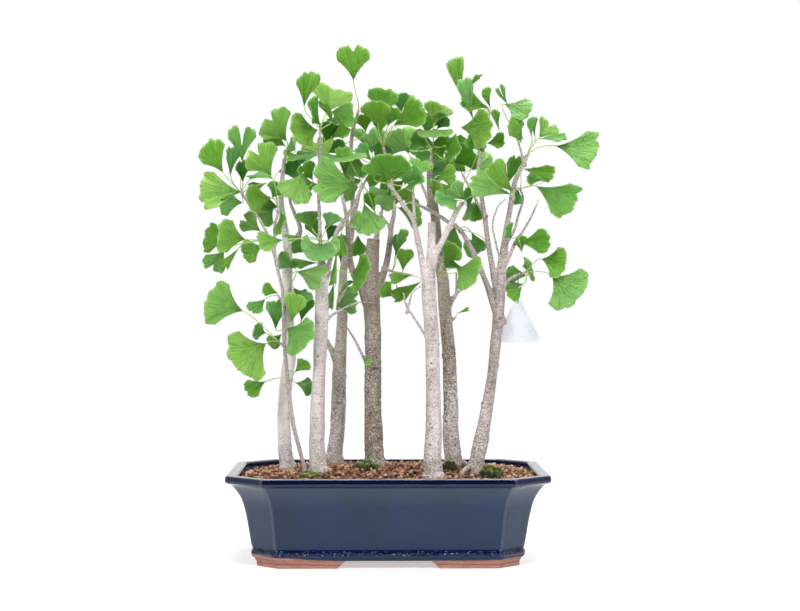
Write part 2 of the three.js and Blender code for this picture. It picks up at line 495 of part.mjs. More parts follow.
// The soil fills the pot. Its top is a field of grains: a peak in each cell of a net
// whose knots lie in the furrows between them.
function soilBlock() {
  const draw = seeded(71);
  const columns = Math.ceil((2 * POT_HALF_LENGTH) / GRAIN_PITCH);
  const rows = Math.ceil((2 * POT_HALF_WIDTH) / GRAIN_PITCH);
  const x0 = (-columns * GRAIN_PITCH) / 2;
  const y0 = (-rows * GRAIN_PITCH) / 2;
  const points = [];
  const faces = [];
  const knot = [];
  for (let j = 0; j <= rows; j++) {
    for (let i = 0; i <= columns; i++) {
      const x = x0 + i * GRAIN_PITCH + (draw() - 0.5) * GRAIN_PITCH * 0.35;
      const y = y0 + j * GRAIN_PITCH + (draw() - 0.5) * GRAIN_PITCH * 0.35;
      knot.push(points.length);
      points.push([x, y, ground(x, y) - 1]);
    }
  }
  const at = (i, j) => knot[j * (columns + 1) + i];
  for (let j = 0; j < rows; j++) {
    for (let i = 0; i < columns; i++) {
      const x = x0 + (i + 0.3 + 0.4 * draw()) * GRAIN_PITCH;
      const y = y0 + (j + 0.3 + 0.4 * draw()) * GRAIN_PITCH;
      const peak = points.length;
      points.push([x, y, ground(x, y) - 1 + GRAIN_RISE * (0.6 + 0.6 * draw())]);
      const around = [at(i, j), at(i + 1, j), at(i + 1, j + 1), at(i, j + 1)];
      around.forEach((corner, k) => faces.push([corner, around[(k + 1) % 4], peak]));
    }
  }
  const rim = [];
  for (let i = 0; i < columns; i++) rim.push(at(i, 0));
  for (let j = 0; j < rows; j++) rim.push(at(columns, j));
  for (let i = columns; i > 0; i--) rim.push(at(i, rows));
  for (let j = rows; j > 0; j--) rim.push(at(0, j));
  const middle = points.length;
  points.push([0, 0, 0]);
  rim.forEach((corner, k) => {
    const next = rim[(k + 1) % rim.length];
    faces.push([middle, next, corner]);
  });
  const shape = new THREE.BufferGeometry();
  shape.setAttribute("position", new THREE.Float32BufferAttribute(points.flat(), 3));
  shape.setIndex(faces.flat());
  return solid(shape);
}

function cavity() {
  const rings = [...POT_INSIDE].reverse().map(([a, z], i) => [a, i === 0 ? z + GAP : z]);
  rings[rings.length - 1] = [185, 108.6];
  return ringStack(rings.slice(0, -2).concat([[184.6, 135]]), GAP);
}

function cushion([x, y, halfX, halfY, rise], grow = 0) {
  const draw = seeded(Math.round(300 + x + 2 * y));
  const shape = new THREE.SphereGeometry(1, 8, 5);
  shape.rotateX(Math.PI / 2);
  shape.deleteAttribute("normal");
  shape.deleteAttribute("uv");
  const merged = mergeVertices(shape, 1e-4);
  const place = merged.attributes.position;
  const level = ground(x, y);
  for (let i = 0; i < place.count; i++) {
    const swell = 0.86 + 0.22 * draw();
    const up = Math.max(place.getZ(i), -0.45) * swell;
    const height = up > 0 ? up * (rise + grow) : (up * 9) - grow;
    place.setXYZ(i, x + place.getX(i) * (halfX * swell + grow), y + place.getY(i) * (halfY * swell + grow),
      level + height);
  }
  return solid(merged);
}

// ---------------------------------------------------------------- stems

function stemSides(radius) {
  return radius > 6 ? 7 : 4;
}

function limbSides(radius) {
  if (radius > 4) return 5;
  return radius > 2.4 ? 4 : 3;
}

// The foot of a stem stands straight in the soil and spreads a little where it leaves it.
function rooted(path) {
  const [x, y, z, radius] = path[0];
  return [[x, y, z - ROOT_DEPTH, radius * 0.8], [x, y, z - 8, radius * 1.12], [x, y, z + 1, radius * 1.14],
    [x + (path[1][0] - x) * 0.25, y, z + (path[1][2] - z) * 0.25, (radius * 3 + path[1][3]) / 4],
    ...path.slice(1)];
}

function tree({ stem, limbs, root }) {
  const parts = [limb(rooted(stem), stemSides(stem[0][3]))];
  for (const path of Object.values(limbs)) parts.push(limb(path, limbSides(path[0][3])));
  if (root) parts.push(limb(root, 5));
  return fuse(parts);
}

function stemHole({ stem, root }) {
  const foot = rooted(stem).slice(0, 4);
  foot[0] = [foot[0][0], foot[0][1], foot[0][2] - GAP, foot[0][3]];
  const parts = [limb(foot, stemSides(stem[0][3]), GAP * 1.25)];
  if (root) parts.push(limb(root, 5, GAP * 1.25));
  return fuse(parts);
}

// ---------------------------------------------------------------- leaves

// Direction, side and upper face of a blade from its clock, lean and face angles.
function bladeFrame(clock, lean, face) {
  const turn = THREE.MathUtils.degToRad(clock);
  const tip = THREE.MathUtils.degToRad(lean);
  const roll = THREE.MathUtils.degToRad(face);
  const axis = new THREE.Vector3(
    Math.cos(tip) * Math.cos(turn), -Math.sin(tip), Math.cos(tip) * Math.sin(turn));
  const towards = new THREE.Vector3(0, -1, 0);
  towards.addScaledVector(axis, -towards.dot(axis)).normalize();
  const across = axis.clone().cross(towards);
  const normal = towards.multiplyScalar(Math.cos(roll)).addScaledVector(across, Math.sin(roll));
  return { axis, normal, side: normal.clone().cross(axis) };
}

// The hang of one blade: how far its surface lifts off its middle plane at a share q of
// its length and an angle from its middle.
function bladeForm(draw) {
  const form = {
    cup: 0.04 + 0.14 * draw(), fold: 0.04 + 0.16 * draw(), wave: 0.035 + 0.05 * draw(),
    phase: 6.28 * draw(), droop: 0.1 + 0.2 * draw(), uneven: [],
  };
  for (let i = 0; i < 9; i++) form.uneven.push(draw() - 0.5);
  return form;
}

function lift(form, rise, q, angle, half) {
  const ripple = form.wave * q * q * Math.sin(form.phase + (angle / half) * 5);
  const trough = form.fold * q * Math.abs(Math.sin(angle)) + form.cup * q * q;
  return ripple + trough - form.droop * q * q * rise;
}

// Margin of the fan for small, middling and large leaves: share of the half spread and
// share of the length, with the notch in the middle and a shallow wave on each side of it.
const MARGINS = [
  [[-1, 0.86], [-0.45, 1], [0, 1], [0.45, 1], [1, 0.86]],
  [[-1, 0.84], [-0.62, 0.95], [-0.22, 1], [0, 1], [0.22, 1], [0.62, 0.96], [1, 0.84]],
  [[-1, 0.84], [-0.76, 0.97], [-0.5, 0.93], [-0.2, 1], [0, 1], [0.2, 1], [0.5, 0.94], [0.76, 0.98],
    [1, 0.84]],
];

function marginOf(length) {
  if (length < 32) return MARGINS[0];
  return length < 50 ? MARGINS[1] : MARGINS[2];
}

// The stalk as rings of three corners from the spur to the foot of the blade: it leaves
// along the shoot and arrives along the blade.
function stalkRings(start, along, foot, axis, side) {
  const reach = foot.distanceTo(start);
  const curve = new THREE.CubicBezierCurve3(
    start,
    start.clone().lerp(foot, 0.15).addScaledVector(along, Math.min(1 + reach * 0.2, 8)),
    foot.clone().addScaledVector(axis, -Math.min(reach * 0.35, 14)),
    foot,
  );
  const steps = reach > 45 || along.dot(axis) < -0.2 ? 3 : 2;
  const rings = [];
  let across = side;
  for (let k = steps; k >= 0; k--) {
    const along_k = k === steps ? axis : curve.getTangent(k / steps);
    across = across.clone().addScaledVector(along_k, -across.dot(along_k)).normalize();
    const up = along_k.clone().cross(across);
    const wide = k === steps ? BLADE_FOOT : STALK_HALF;
    const high = k === steps ? BLADE_THICK / 2 : STALK_HALF;
    const corners = [[-1, 0.8], [1, 0.8], [0, -1.2]];
    const middle = curve.getPoint(k / steps);
    rings.unshift(corners.map(([i, j]) => middle.clone()
      .addScaledVector(across, i * wide).addScaledVector(up, j * high)));
  }
  return rings;
}

// A leaf is one closed shell: stalk rings, then an upper and a lower face over the same
// net of points (two at the foot, three across the middle, the margin) and a thin rim.
function leaf([x, y, z, clock, lean, face, length, spread, notch], form, start, along) {
  const { axis, normal, side } = bladeFrame(clock, lean, face);
  const half = THREE.MathUtils.degToRad(spread / 2);
  const foot = new THREE.Vector3(x, y, z);
  const margin = marginOf(length);
  const centre = (margin.length - 1) / 2;
  const spots = [[-0.86 * half, 0.5], [0, 0.5], [0.86 * half, 0.5]];
  margin.forEach(([share, reach], i) => {
    const cut = i === centre ? 1 - notch / 100 : reach + 0.06 * form.uneven[i];
    spots.push([share * half, cut]);
  });
  const rings = stalkRings(start, along, foot, axis, side);
  const points = rings.flat();
  for (const lower of [1, -1]) {
    for (const [angle, q] of spots) {
      const raise = lift(form, normal.z, q, angle, half) * length + (lower * BLADE_THICK) / 2;
      points.push(foot.clone().addScaledVector(axis, Math.cos(angle) * q * length)
        .addScaledVector(side, Math.sin(angle) * q * length).addScaledVector(normal, raise));
    }
  }
  const index = [0, 1, 2];
  for (let k = 0; k + 1 < rings.length; k++) {
    for (let j = 0; j < 3; j++) {
      const a = 3 * k + j;
      const b = 3 * k + ((j + 1) % 3);
      index.push(a, a + 3, b + 3, a, b + 3, b);
    }
  }
  const base = 3 * (rings.length - 1);
  const upper = { footLeft: base, footRight: base + 1, spots: base + 3 };
  const lower = { footLeft: base + 2, footRight: base + 2, spots: base + 3 + spots.length };
  const net = ({ footLeft, footRight, spots: first }) => {
    const outer = (i) => first + 3 + i;
    const [left, middle, right] = [first, first + 1, first + 2];
    const split = Math.floor(centre / 2);
    const faces = [[footLeft, left, middle], [footRight, middle, right],
      [left, outer(split), middle], [middle, outer(2 * centre - split), right]];
    if (footLeft !== footRight) faces.push([footLeft, middle, footRight]);
    for (let i = 0; i < 2 * centre; i++) {
      let hub = middle;
      if (i < split) hub = left;
      if (i >= 2 * centre - split) hub = right;
      faces.push([hub, outer(i), outer(i + 1)]);
    }
    const edge = [footLeft, left];
    for (let i = 0; i <= 2 * centre; i++) edge.push(outer(i));
    return { faces, edge: edge.concat([right, footRight]) };
  };
  const over = net(upper);
  const under = net(lower);
  for (const [a, b, c] of over.faces) index.push(a, b, c);
  for (const [a, b, c] of under.faces) index.push(a, c, b);
  for (let k = 0; k + 1 < over.edge.length; k++) {
    const [a, b] = [over.edge[k], over.edge[k + 1]];
    const [c, d] = [under.edge[k], under.edge[k + 1]];
    index.push(a, c, d, a, d, b);
  }
  const shape = new THREE.BufferGeometry();
  const flat = points.flatMap((point) => point.toArray());
  shape.setAttribute("position", new THREE.Float32BufferAttribute(flat, 3));
  shape.setIndex(index);
  return solid(shape);
}

let leafCount = 0;

function tuft([treeNumber, limbName, rows]) {
  const { stem, limbs } = TREES[treeNumber - 1];
  const path = limbName === "stem" ? stem : limbs[limbName];
  const tip = new THREE.Vector3(...path.at(-1));
  const along = tip.clone().sub(new THREE.Vector3(...path.at(-2))).normalize();
  const seat = tip.clone().addScaledVector(along, GAP);
  const crown = tip.clone().addScaledVector(along, 3.4);
  const spur = limb([[...seat.toArray(), path.at(-1)[3] * 1.15], [...crown.toArray(), 1.3]], 4);
  const start = tip.clone().addScaledVector(along, 2);
  const parts = [spur];
  for (const row of rows) {
    leafCount += 1;
    const form = bladeForm(seeded(leafCount * 977 + 13));
    parts.push(leaf(row, form, start, along));
  }
  return fuse(parts);
}

// ---------------------------------------------------------------- tag

function tagPlate() {
  const { half, height, hole } = TAG;
  const outline = new THREE.Shape();
  outline.moveTo(-3, height - 1);
  outline.quadraticCurveTo(0, height + 1.5, 3, height - 1);
  outline.lineTo(half, 4);
  outline.quadraticCurveTo(half, 0.5, half - 4, 0.5);
  outline.quadraticCurveTo(0, -2, -(half - 4), 0.5);
  outline.quadraticCurveTo(-half, 0.5, -half, 4);
  const shape = new THREE.ExtrudeGeometry(outline, { depth: TAG.thick, bevelEnabled: false, curveSegments: 4 });
  shape.rotateX(Math.PI / 2);
  shape.translate(TAG.x, TAG.y + TAG.thick / 2, TAG.top - height);
  const eye = new THREE.CylinderGeometry(hole, hole, 3 * TAG.thick, 10);
  eye.translate(TAG.x, TAG.y, TAG.top - 7);
  return solid(shape).subtract(solid(eye));
}

// A loop of thread over the twig and through the eye: a ring whose sections are set on
// the points [y, z] of the loop, in the plane square to the tag.
function tagThread() {
  const loop = [[TAG.y, 319.9], [TAG.y + 1.6, 322], [-37.2, 340], [-37.5, 357.1], [-38.3, 359.3],
    [-40.25, 360.2], [-42.2, 359.3], [-43, 357.1], [-41.6, 340], [TAG.y - 1.6, 322]];
  const count = loop.length;
  const shape = new THREE.TorusGeometry(10, 1, 4, count);
  const place = shape.attributes.position;
  for (let i = 0; i < place.count; i++) {
    const flat = Math.hypot(place.getX(i), place.getY(i));
    const turn = Math.atan2(place.getY(i), place.getX(i)) / (2 * Math.PI);
    const k = (Math.round(turn * count) + count) % count;
    const before = loop[(k + count - 1) % count];
    const after = loop[(k + 1) % count];
    const along = new THREE.Vector2(after[0] - before[0], after[1] - before[1]).normalize();
    const out = (flat - 10) * THREAD_RADIUS;
    place.setXYZ(i, TAG.x + place.getZ(i) * THREAD_RADIUS, loop[k][0] + along.y * out,
      loop[k][1] - along.x * out);
  }
  return solid(shape);
}

// ---------------------------------------------------------------- assembly

const bonsai = new THREE.Group();
bonsai.position.set(-FOREST_MIDDLE_X, 0, 0);

bonsai.add(piece("pot", pot(), COLORS.glaze, 0.2));
bonsai.add(piece("drain_screen_left", drainScreen(-DRAIN_X), COLORS.screen, 0.7));
bonsai.add(piece("drain_screen_right", drainScreen(DRAIN_X), COLORS.screen, 0.7));

const stemHoles = TREES.map(stemHole);
let soil = soilBlock().intersect(cavity());
for (const hole of stemHoles) soil = soil.subtract(hole);
for (const x of [-DRAIN_X, DRAIN_X]) {
  const reach = SCREEN_SIDE / 2 + GAP;
  soil = soil.subtract(box(x - reach, -reach, 0, x + reach, reach, POT_FLOOR + SCREEN_THICK + 2 * GAP));
}
for (const spot of Object.values(MOSS)) soil = soil.subtract(cushion(spot, GAP));
bonsai.add(piece("soil", soil, COLORS.soil, 0.95));

for (const [name, spot] of Object.entries(MOSS)) {
  let moss = cushion(spot);
  for (const hole of stemHoles) moss = moss.subtract(hole);
  bonsai.add(piece(name, moss, COLORS.moss, 0.95));
}

TREES.forEach((row, i) => {
  bonsai.add(piece(`stem_${i + 1}`, tree(row), COLORS.bark[i], 0.8));
});

Object.entries(TUFTS).forEach(([name, row], i) => {
  bonsai.add(piece(name, tuft(row), COLORS.leaf[i % COLORS.leaf.length], 0.5));
});

bonsai.add(piece("tag", tagPlate(), COLORS.tag, 0.4));
bonsai.add(piece("tag_thread", tagThread(), COLORS.thread, 0.8));

export default bonsai;
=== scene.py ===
import math
import random

import bmesh
import bpy
import numpy as np
from mathutils import Euler, Matrix, Vector, kdtree, noise


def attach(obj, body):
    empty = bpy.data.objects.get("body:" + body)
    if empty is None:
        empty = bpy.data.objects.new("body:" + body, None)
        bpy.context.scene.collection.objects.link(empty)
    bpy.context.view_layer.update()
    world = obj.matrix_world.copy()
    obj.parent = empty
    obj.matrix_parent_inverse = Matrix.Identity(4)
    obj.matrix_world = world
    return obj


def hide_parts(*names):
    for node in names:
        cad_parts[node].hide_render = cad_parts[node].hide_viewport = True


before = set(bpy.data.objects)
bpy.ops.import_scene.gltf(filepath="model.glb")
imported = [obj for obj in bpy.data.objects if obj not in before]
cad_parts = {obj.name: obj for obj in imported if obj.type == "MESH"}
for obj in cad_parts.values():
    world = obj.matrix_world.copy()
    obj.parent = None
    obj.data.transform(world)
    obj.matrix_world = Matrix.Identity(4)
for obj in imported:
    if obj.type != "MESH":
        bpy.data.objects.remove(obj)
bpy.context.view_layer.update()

# ------------------------------------------------------------------ camera, light and floor
# A camera with a long lens stands level with the middle of the plant, two metres off.
# Soft boxes light it from the front and above, and the pale table under it glows a little.

CAMERA_PLACE = (-0.0299, -2.233, 0.3253)
CAMERA_PITCH = -0.17
CAMERA_YAW = -0.84
LENS = 78.8
SENSOR = 36.0

# Each soft box: side, place, what it faces, watts.
SOFT_BOXES = {
    "soft_box_left": (1.0, (-1.3, -1.8, 1.7), (0.0, 0.0, 0.33), 40.0),
    "soft_box_right": (1.0, (1.2, -1.9, 1.8), (0.0, 0.0, 0.3), 48.0),
    "soft_box_top": (1.3, (0.1, 0.3, 2.2), (0.0, 0.0, 0.2), 50.0),
}
AIR_BEHIND = 0.85
AIR_IN_FRONT = 0.09
FLOOR_RADIUS = 1.5
FLOOR_COLOUR = (0.6, 0.6, 0.61)
FLOOR_GLOW = 0.48


def node(tree, kind, settings=None, inputs=None):
    """A shader node with its settings, and its inputs as values or other nodes' sockets."""
    made = tree.nodes.new("ShaderNode" + kind)
    for key, value in (settings or {}).items():
        setattr(made, key, value)
    for key, value in (inputs or {}).items():
        if isinstance(value, bpy.types.NodeSocket):
            tree.links.new(value, made.inputs[key])
        else:
            made.inputs[key].default_value = value
    return made


def finish_of(name, **sockets):
    """A material and its Principled shader, with the shader's own sockets set."""
    made = bpy.data.materials.new(name)
    made.use_nodes = True
    shader = made.node_tree.nodes["Principled BSDF"]
    for socket, value in sockets.items():
        shader.inputs[socket.replace("_", " ")].default_value = value
    return made, made.node_tree, shader


def dress(shader, **sockets):
    """Links the given values to the shader's own sockets."""
    for socket, value in sockets.items():
        shader.id_data.links.new(value, shader.inputs[socket.replace("_", " ")])


def stretched(vector, stretch):
    """The vector times these three numbers: a larger one makes the pattern finer that way."""
    return node(vector.id_data, "Mapping", None, {"Vector": vector, "Scale": stretch}).outputs[0]


def place_of(tree, stretch=(1.0, 1.0, 1.0)):
    """Where a spot of the surface lies, in metres, stretched for the pattern."""
    return stretched(node(tree, "TexCoord").outputs["Object"], stretch)


def part_of(vector, way):
    """The X, Y or Z of a vector alone."""
    return node(vector.id_data, "SeparateXYZ", None, {0: vector}).outputs[way]


def cloud(vector, scale, detail=3.0, rough=0.55, distort=0.0):
    """Soft uneven grey, from nought to one."""
    return node(vector.id_data, "TexNoise", None, {"Vector": vector, "Scale": scale, "Detail": detail,
                                                   "Roughness": rough, "Distortion": distort}).outputs[0]


def ramp(fac, stops):
    """A colour ramp from (place, colour) stops; a single number is a grey."""
    made = node(fac.id_data, "ValToRGB", None, {"Fac": fac})
    steps = made.color_ramp.elements
    while len(steps) < len(stops):
        steps.new(0.5)
    for step, (where, colour) in zip(steps, stops):
        step.position = where
        step.color = (*colour, 1.0) if isinstance(colour, tuple) else (colour, colour, colour, 1.0)
    return made.outputs[0]


def tree_of(*values):
    """The node tree of the first value that is a socket and not a number or a colour."""
    return next(value.id_data for value in values if isinstance(value, bpy.types.NodeSocket))


def blend(fac, first, second):
    """The first colour where fac is nought and the second where it is one."""
    first, second = [(*shade, 1.0) if isinstance(shade, tuple) else shade
                     for shade in (first, second)]
    return node(tree_of(fac, first, second), "Mix", {"data_type": "RGBA"},
                {0: fac, 6: first, 7: second}).outputs[2]


def mesh_from(bm, name):
    """The bmesh as a mesh of this name. The bmesh is done with."""
    mesh = bpy.data.meshes.new(name)
    bm.to_mesh(mesh)
    bm.free()
    return mesh


scene = bpy.context.scene
scene.view_settings.view_transform = "Standard"

camera = bpy.data.objects.new("camera", bpy.data.cameras.new("camera"))
camera.location = CAMERA_PLACE
camera.rotation_euler = (math.radians(90 + CAMERA_PITCH), 0.0, math.radians(CAMERA_YAW))
camera.data.lens = LENS
camera.data.sensor_width = SENSOR
scene.collection.objects.link(camera)
scene.camera = camera

for name, (side, where, target, watts) in SOFT_BOXES.items():
    box = bpy.data.lights.new(name, "AREA")
    box.shape = "SQUARE"
    box.size = side
    box.energy = watts
    lamp = bpy.data.objects.new(name, box)
    lamp.location = where
    lamp.rotation_euler = (Vector(target) - Vector(where)).to_track_quat("-Z", "Y").to_euler()
    scene.collection.objects.link(lamp)

air = bpy.data.worlds.new("studio_air")
air.use_nodes = True
scene.world = air
tree = air.node_tree
towards = node(tree, "TexCoord").outputs["Generated"]
depth = part_of(towards, "Y")
level = ramp(node(tree, "MapRange", None, {0: depth, 1: -1.0, 2: 1.0}).outputs[0],
             [(0.35, AIR_IN_FRONT), (0.6, AIR_BEHIND)])
seen = node(tree, "LightPath").outputs["Is Camera Ray"]
level = blend(seen, level, (1.0, 1.0, 1.0))
tree.links.new(level, tree.nodes["Background"].inputs["Color"])

bm = bmesh.new()
bmesh.ops.create_circle(bm, cap_ends=True, segments=96, radius=FLOOR_RADIUS)
floor = bpy.data.objects.new("floor", mesh_from(bm, "floor"))
scene.collection.objects.link(floor)
paper, tree, shader = finish_of("light_table", Roughness=0.9, Emission_Color=(1.0, 1.0, 1.0, 1.0),
                                Emission_Strength=FLOOR_GLOW)
tone = cloud(place_of(tree), 1.5)
duller = tuple(0.98 * part for part in FLOOR_COLOUR)
dress(shader, Base_Color=ramp(tone, [(0.3, duller), (0.7, FLOOR_COLOUR)]))
floor.data.materials.append(paper)

# ------------------------------------------------------------------ pot body
# A deep oblong stoneware pot with cut corners, flared walls and a heavy rolled lip. It is
# press moulded and dipped in dark blue glaze, which runs thin and pale along every edge.
# The pale line along the lip's crest and round corners is partly a painted highlight.

MM = 0.001  # the sizes from here on are in millimetres
FOREST_MIDDLE_X = 12.8  # the pot's middle lies this far left of the middle of the whole
POT_HALF_LENGTH = 200.0
POT_HALF_WIDTH = 140.5
POT_CHAMFER = 46.0
WIDTH_TAPER = 0.727  # width lost for each millimetre of length, from lip to base
CHAMFER_TAPER = 0.4935
CORNER_ROUND = 3.2
ARC_STEPS = 4  # round each corner of a ring
PANEL_COLUMNS = 15  # along each flat panel
LIP_TOP = 111.0
LIP_MIDDLE = 192.0  # half length of the lip's middle line
LIP_EDGE = 4.6  # how far the edges of the lip lie from that line
LOW_BAND_TOP = 21.0
DRAIN_X = 78.0
DRAIN_RADIUS = 12.0
GLAZE_SWELL = 0.16

# Half length and height of each ring: up the outer wall, over the lip and down inside.
POT_OUTSIDE = [
    (163.5, 9.2), (167.2, 12), (168.6, 16.5), (168, 19.6), (166.6, 21), (168.4, 27),
    (170.8, 40), (174.2, 60), (179, 79), (184.8, 90), (191.8, 98.6), (198.4, 101.8),
    (200, 103.6), (199.5, 109.2), (197.4, LIP_TOP),
]
POT_INSIDE = [
    (187.6, LIP_TOP), (185, 108.6), (184.6, 103), (176, 90), (169, 76), (164.5, 58),
    (160.5, 36), (156, 22), (150, 18.5),
]

GLAZE_DEEP = (0.002, 0.007, 0.05)
GLAZE_DARK = (0.0015, 0.004, 0.027)
# The lip's glaze, painted darker as shade.
GLAZE_LIP_SHADE = (0.0008, 0.0018, 0.026)
GLAZE_THIN_AND_SHEEN = (0.34, 0.37, 0.38)
GLAZE_LEVEL = 9.8  # height of the glaze's lower edge in the middle of the pot
# How far that edge rises at the left and right end: rise, side, where it starts, over how long.
GLAZE_RISES = ((5.2, -1, 55, 115), (1.4, 1, 80, 80))
CLAY_RED = (0.335, 0.145, 0.105)
CLAY_PALE = (0.5, 0.265, 0.21)
CLAY_DARK = (0.13, 0.055, 0.042)


def in_row(x, y, z):
    """A point measured from the pot's middle, in millimetres, as a place in metres."""
    return Vector((x - FOREST_MIDDLE_X, y, z)) * MM


def smooth_path(points, steps):
    """Points along a soft curve through the given points, with steps in each gap."""
    path = [np.array(point, float) for point in points]
    ends = [2 * path[0] - path[1]] + path + [2 * path[-1] - path[-2]]
    curve = []
    for gap in range(len(path) - 1):
        a, b, c, d = ends[gap:gap + 4]
        for step in range(steps):
            t = step / steps
            curve.append(0.5 * (2 * b + (c - a) * t + (2 * a - 5 * b + 4 * c - d) * t * t
                                + (3 * b - a - 3 * c + d) * t ** 3))
    return curve + [path[-1]]


def pot_corner(length, number):
    """One of the eight corners of the ring with this half length, against the clock."""
    width = POT_HALF_WIDTH - (POT_HALF_LENGTH - length) * WIDTH_TAPER
    cut = POT_CHAMFER - (POT_HALF_LENGTH - length) * CHAMFER_TAPER
    side_x = 1 if number in (6, 7, 0, 1) else -1
    side_y = 1 if number in (0, 1, 2, 3) else -1
    near_end = number in (0, 3, 4, 7)
    x = length if near_end else length - cut
    y = width - cut if near_end else width
    return np.array((side_x * x, side_y * y))


def ring_point(length, number):
    """A point of the ring by its number: round each corner, then along the panel after it."""
    order = [pot_corner(length, corner) for corner in range(8)]
    corner, step = divmod(number, ARC_STEPS + 1 + PANEL_COLUMNS)
    here, after, before = order[corner], order[(corner + 1) % 8], order[corner - 1]
    ahead = (after - here) / np.linalg.norm(after - here)
    back = (before - here) / np.linalg.norm(before - here)
    if step <= ARC_STEPS:
        t = step / ARC_STEPS
        return here + CORNER_ROUND * (back * (1 - t) ** 2 + ahead * t * t)
    t = (step - ARC_STEPS) / (PANEL_COLUMNS + 1)
    behind_next = (here - after) / np.linalg.norm(here - after)
    first, last = here + CORNER_ROUND * ahead, after + CORNER_ROUND * behind_next
    return first * (1 - t) + last * t


def smoothed(bm):
    """Lets all faces run into one another in the light."""
    for face in bm.faces:
        face.smooth = True


def next_ring(bm, edges):
    """Draws a ring of edges out into a new one: its corners, in their order, and its edges."""
    grown = bmesh.ops.extrude_edge_only(bm, edges=edges)["geom"]
    corners = [item for item in grown if isinstance(item, bmesh.types.BMVert)]
    fresh = set(corners)
    return corners, [item for item in grown if isinstance(item, bmesh.types.BMEdge)
                     and fresh.issuperset(item.verts)]


def piece_from(bm, name, *finishes):
    """An object at the origin from a finished bmesh, with its materials."""
    mesh = mesh_from(bm, name)
    made = bpy.data.objects.new(name, mesh)
    for finish in finishes:
        mesh.materials.append(finish)
    scene.collection.objects.link(made)
    return made


def hung_on_root(piece, slot_name, *stood_for):
    """Fixes a piece to the one body, for the plain solids it stands for. The slot name is not used."""
    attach(piece, "root")
    if stood_for:
        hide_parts(*stood_for)


def applied(piece):
    """Bakes the piece's modifiers into its mesh."""
    shape = piece.evaluated_get(bpy.context.evaluated_depsgraph_get())
    mesh = bpy.data.meshes.new_from_object(shape)
    old = piece.data
    piece.modifiers.clear()
    piece.data = mesh
    bpy.data.meshes.remove(old)


def ease(t):
    """Zero to one and level at both ends."""
    t = min(1.0, max(0.0, t))
    return t * t * (3 - 2 * t)


def glaze_line(x, y):
    """Where the glaze was wiped back to bare clay above the feet."""
    uneven = 0.8 * noise.noise(Vector((x, y, 0)) * 0.03)
    uneven += 0.35 * noise.noise(Vector((x, y, 9)) * 0.11)
    level = GLAZE_LEVEL
    for rise, side, start, run in GLAZE_RISES:
        level += rise * ease((side * x - start) / run)
    return level + uneven


def layer(tree, name):
    """What the mesh holds in its layer of this name."""
    return node(tree, "Attribute", {"attribute_name": name}).outputs["Fac"]


def cells(vector, scale, feature="F1"):
    """A net of cells: how far a spot lies from the middle or the edge of its own."""
    return node(vector.id_data, "TexVoronoi", {"feature": feature},
                {"Vector": vector, "Scale": scale}).outputs["Distance"]


def maths(kind, first, second):
    return node(tree_of(first, second), "Math", {"operation": kind}, {0: first, 1: second}).outputs[0]


def times(first, second):
    return maths("MULTIPLY", first, second)


def larger(first, second):
    return maths("MAXIMUM", first, second)


def bump(height, depth, under=None):
    """A normal bent by this height, over the normal of the relief under it."""
    inputs = {"Height": height, "Distance": depth, "Strength": 1.0}
    if under:
        inputs["Normal"] = under
    return node(height.id_data, "Bump", None, inputs).outputs[0]


def raw_clay(tree):
    """Bare fired clay: its colour, and the heights of its grooves and of its grit."""
    grooves = cloud(place_of(tree, (1.0, 1.0, 5.0)), 55.0, 5.0, 0.65, 0.8)
    grit = cloud(place_of(tree), 900.0, 3.0, 0.7)
    shade = ramp(grooves, [(0.28, CLAY_DARK), (0.45, CLAY_RED), (0.72, CLAY_PALE)])
    shade = blend(0.35, shade, ramp(grit, [(0.3, CLAY_RED), (0.75, CLAY_PALE)]))
    return shade, grooves, grit


glaze, tree, shader = finish_of("dark_blue_glaze", Roughness=0.1, IOR=1.47,
                                Specular_Tint=(0.78, 1.0, 1.0, 1.0))
place = place_of(tree)
height = part_of(place, "Z")
pool = cloud(place_of(tree, (1.0, 1.0, 0.35)), 26.0, 4.0)
depths = ramp(pool, [(0.3, GLAZE_DARK), (0.62, GLAZE_DEEP)])
runs = cloud(place_of(tree, (1.0, 1.0, 6.0)), 60.0, 5.0, 0.6)
# Pale glaze on the lip's crest and round corners: partly thin glaze, partly a painted highlight.
edge = layer(tree, "thin_glaze_and_sheen")
thin_and_sheen = times(edge, ramp(runs, [(0.25, 0.35), (0.6, 1.0)]))
rise = times(height, 5.0)
flare = ramp(rise, [(0.37, 0.0), (0.46, 0.06), (0.5, 0.09), (0.508, 0.0)])
shade = blend(flare, depths, GLAZE_THIN_AND_SHEEN)
# Above the top of the wall the lip gets painted shade.
shade = blend(ramp(rise, [(0.505, 0.0), (0.513, 1.0)]), shade, GLAZE_LIP_SHADE)
shade = blend(thin_and_sheen, shade, GLAZE_THIN_AND_SHEEN)
bare = layer(tree, "bare_clay")
clay_shade, grooves, _ = raw_clay(tree)
dress(shader, Base_Color=blend(bare, shade, clay_shade))
specks = cells(place, 240.0)
pinholes = ramp(specks, [(0.0, 0.0), (0.08, 1.0)])
slow = cloud(place_of(tree, (1.0, 1.0, 1.6)), 24.0, 2.0)
swell = bump(slow, 0.0006)
band = ramp(times(height, 10.0), [(0.14, 0.0), (0.16, 1.0), (0.2, 1.0), (0.235, 0.0)])
ripple = cloud(place_of(tree, (1.0, 1.0, 2.4)), 85.0, 2.0)
swell = bump(times(ripple, band), 0.0042, swell)
ground_clay = bump(times(grooves, bare), 0.0016, swell)
dress(shader, Normal=bump(pinholes, 0.00006, ground_clay))
dull = larger(times(thin_and_sheen, 0.3), times(bare, 0.8))
dress(shader, Roughness=larger(dull, 0.075))

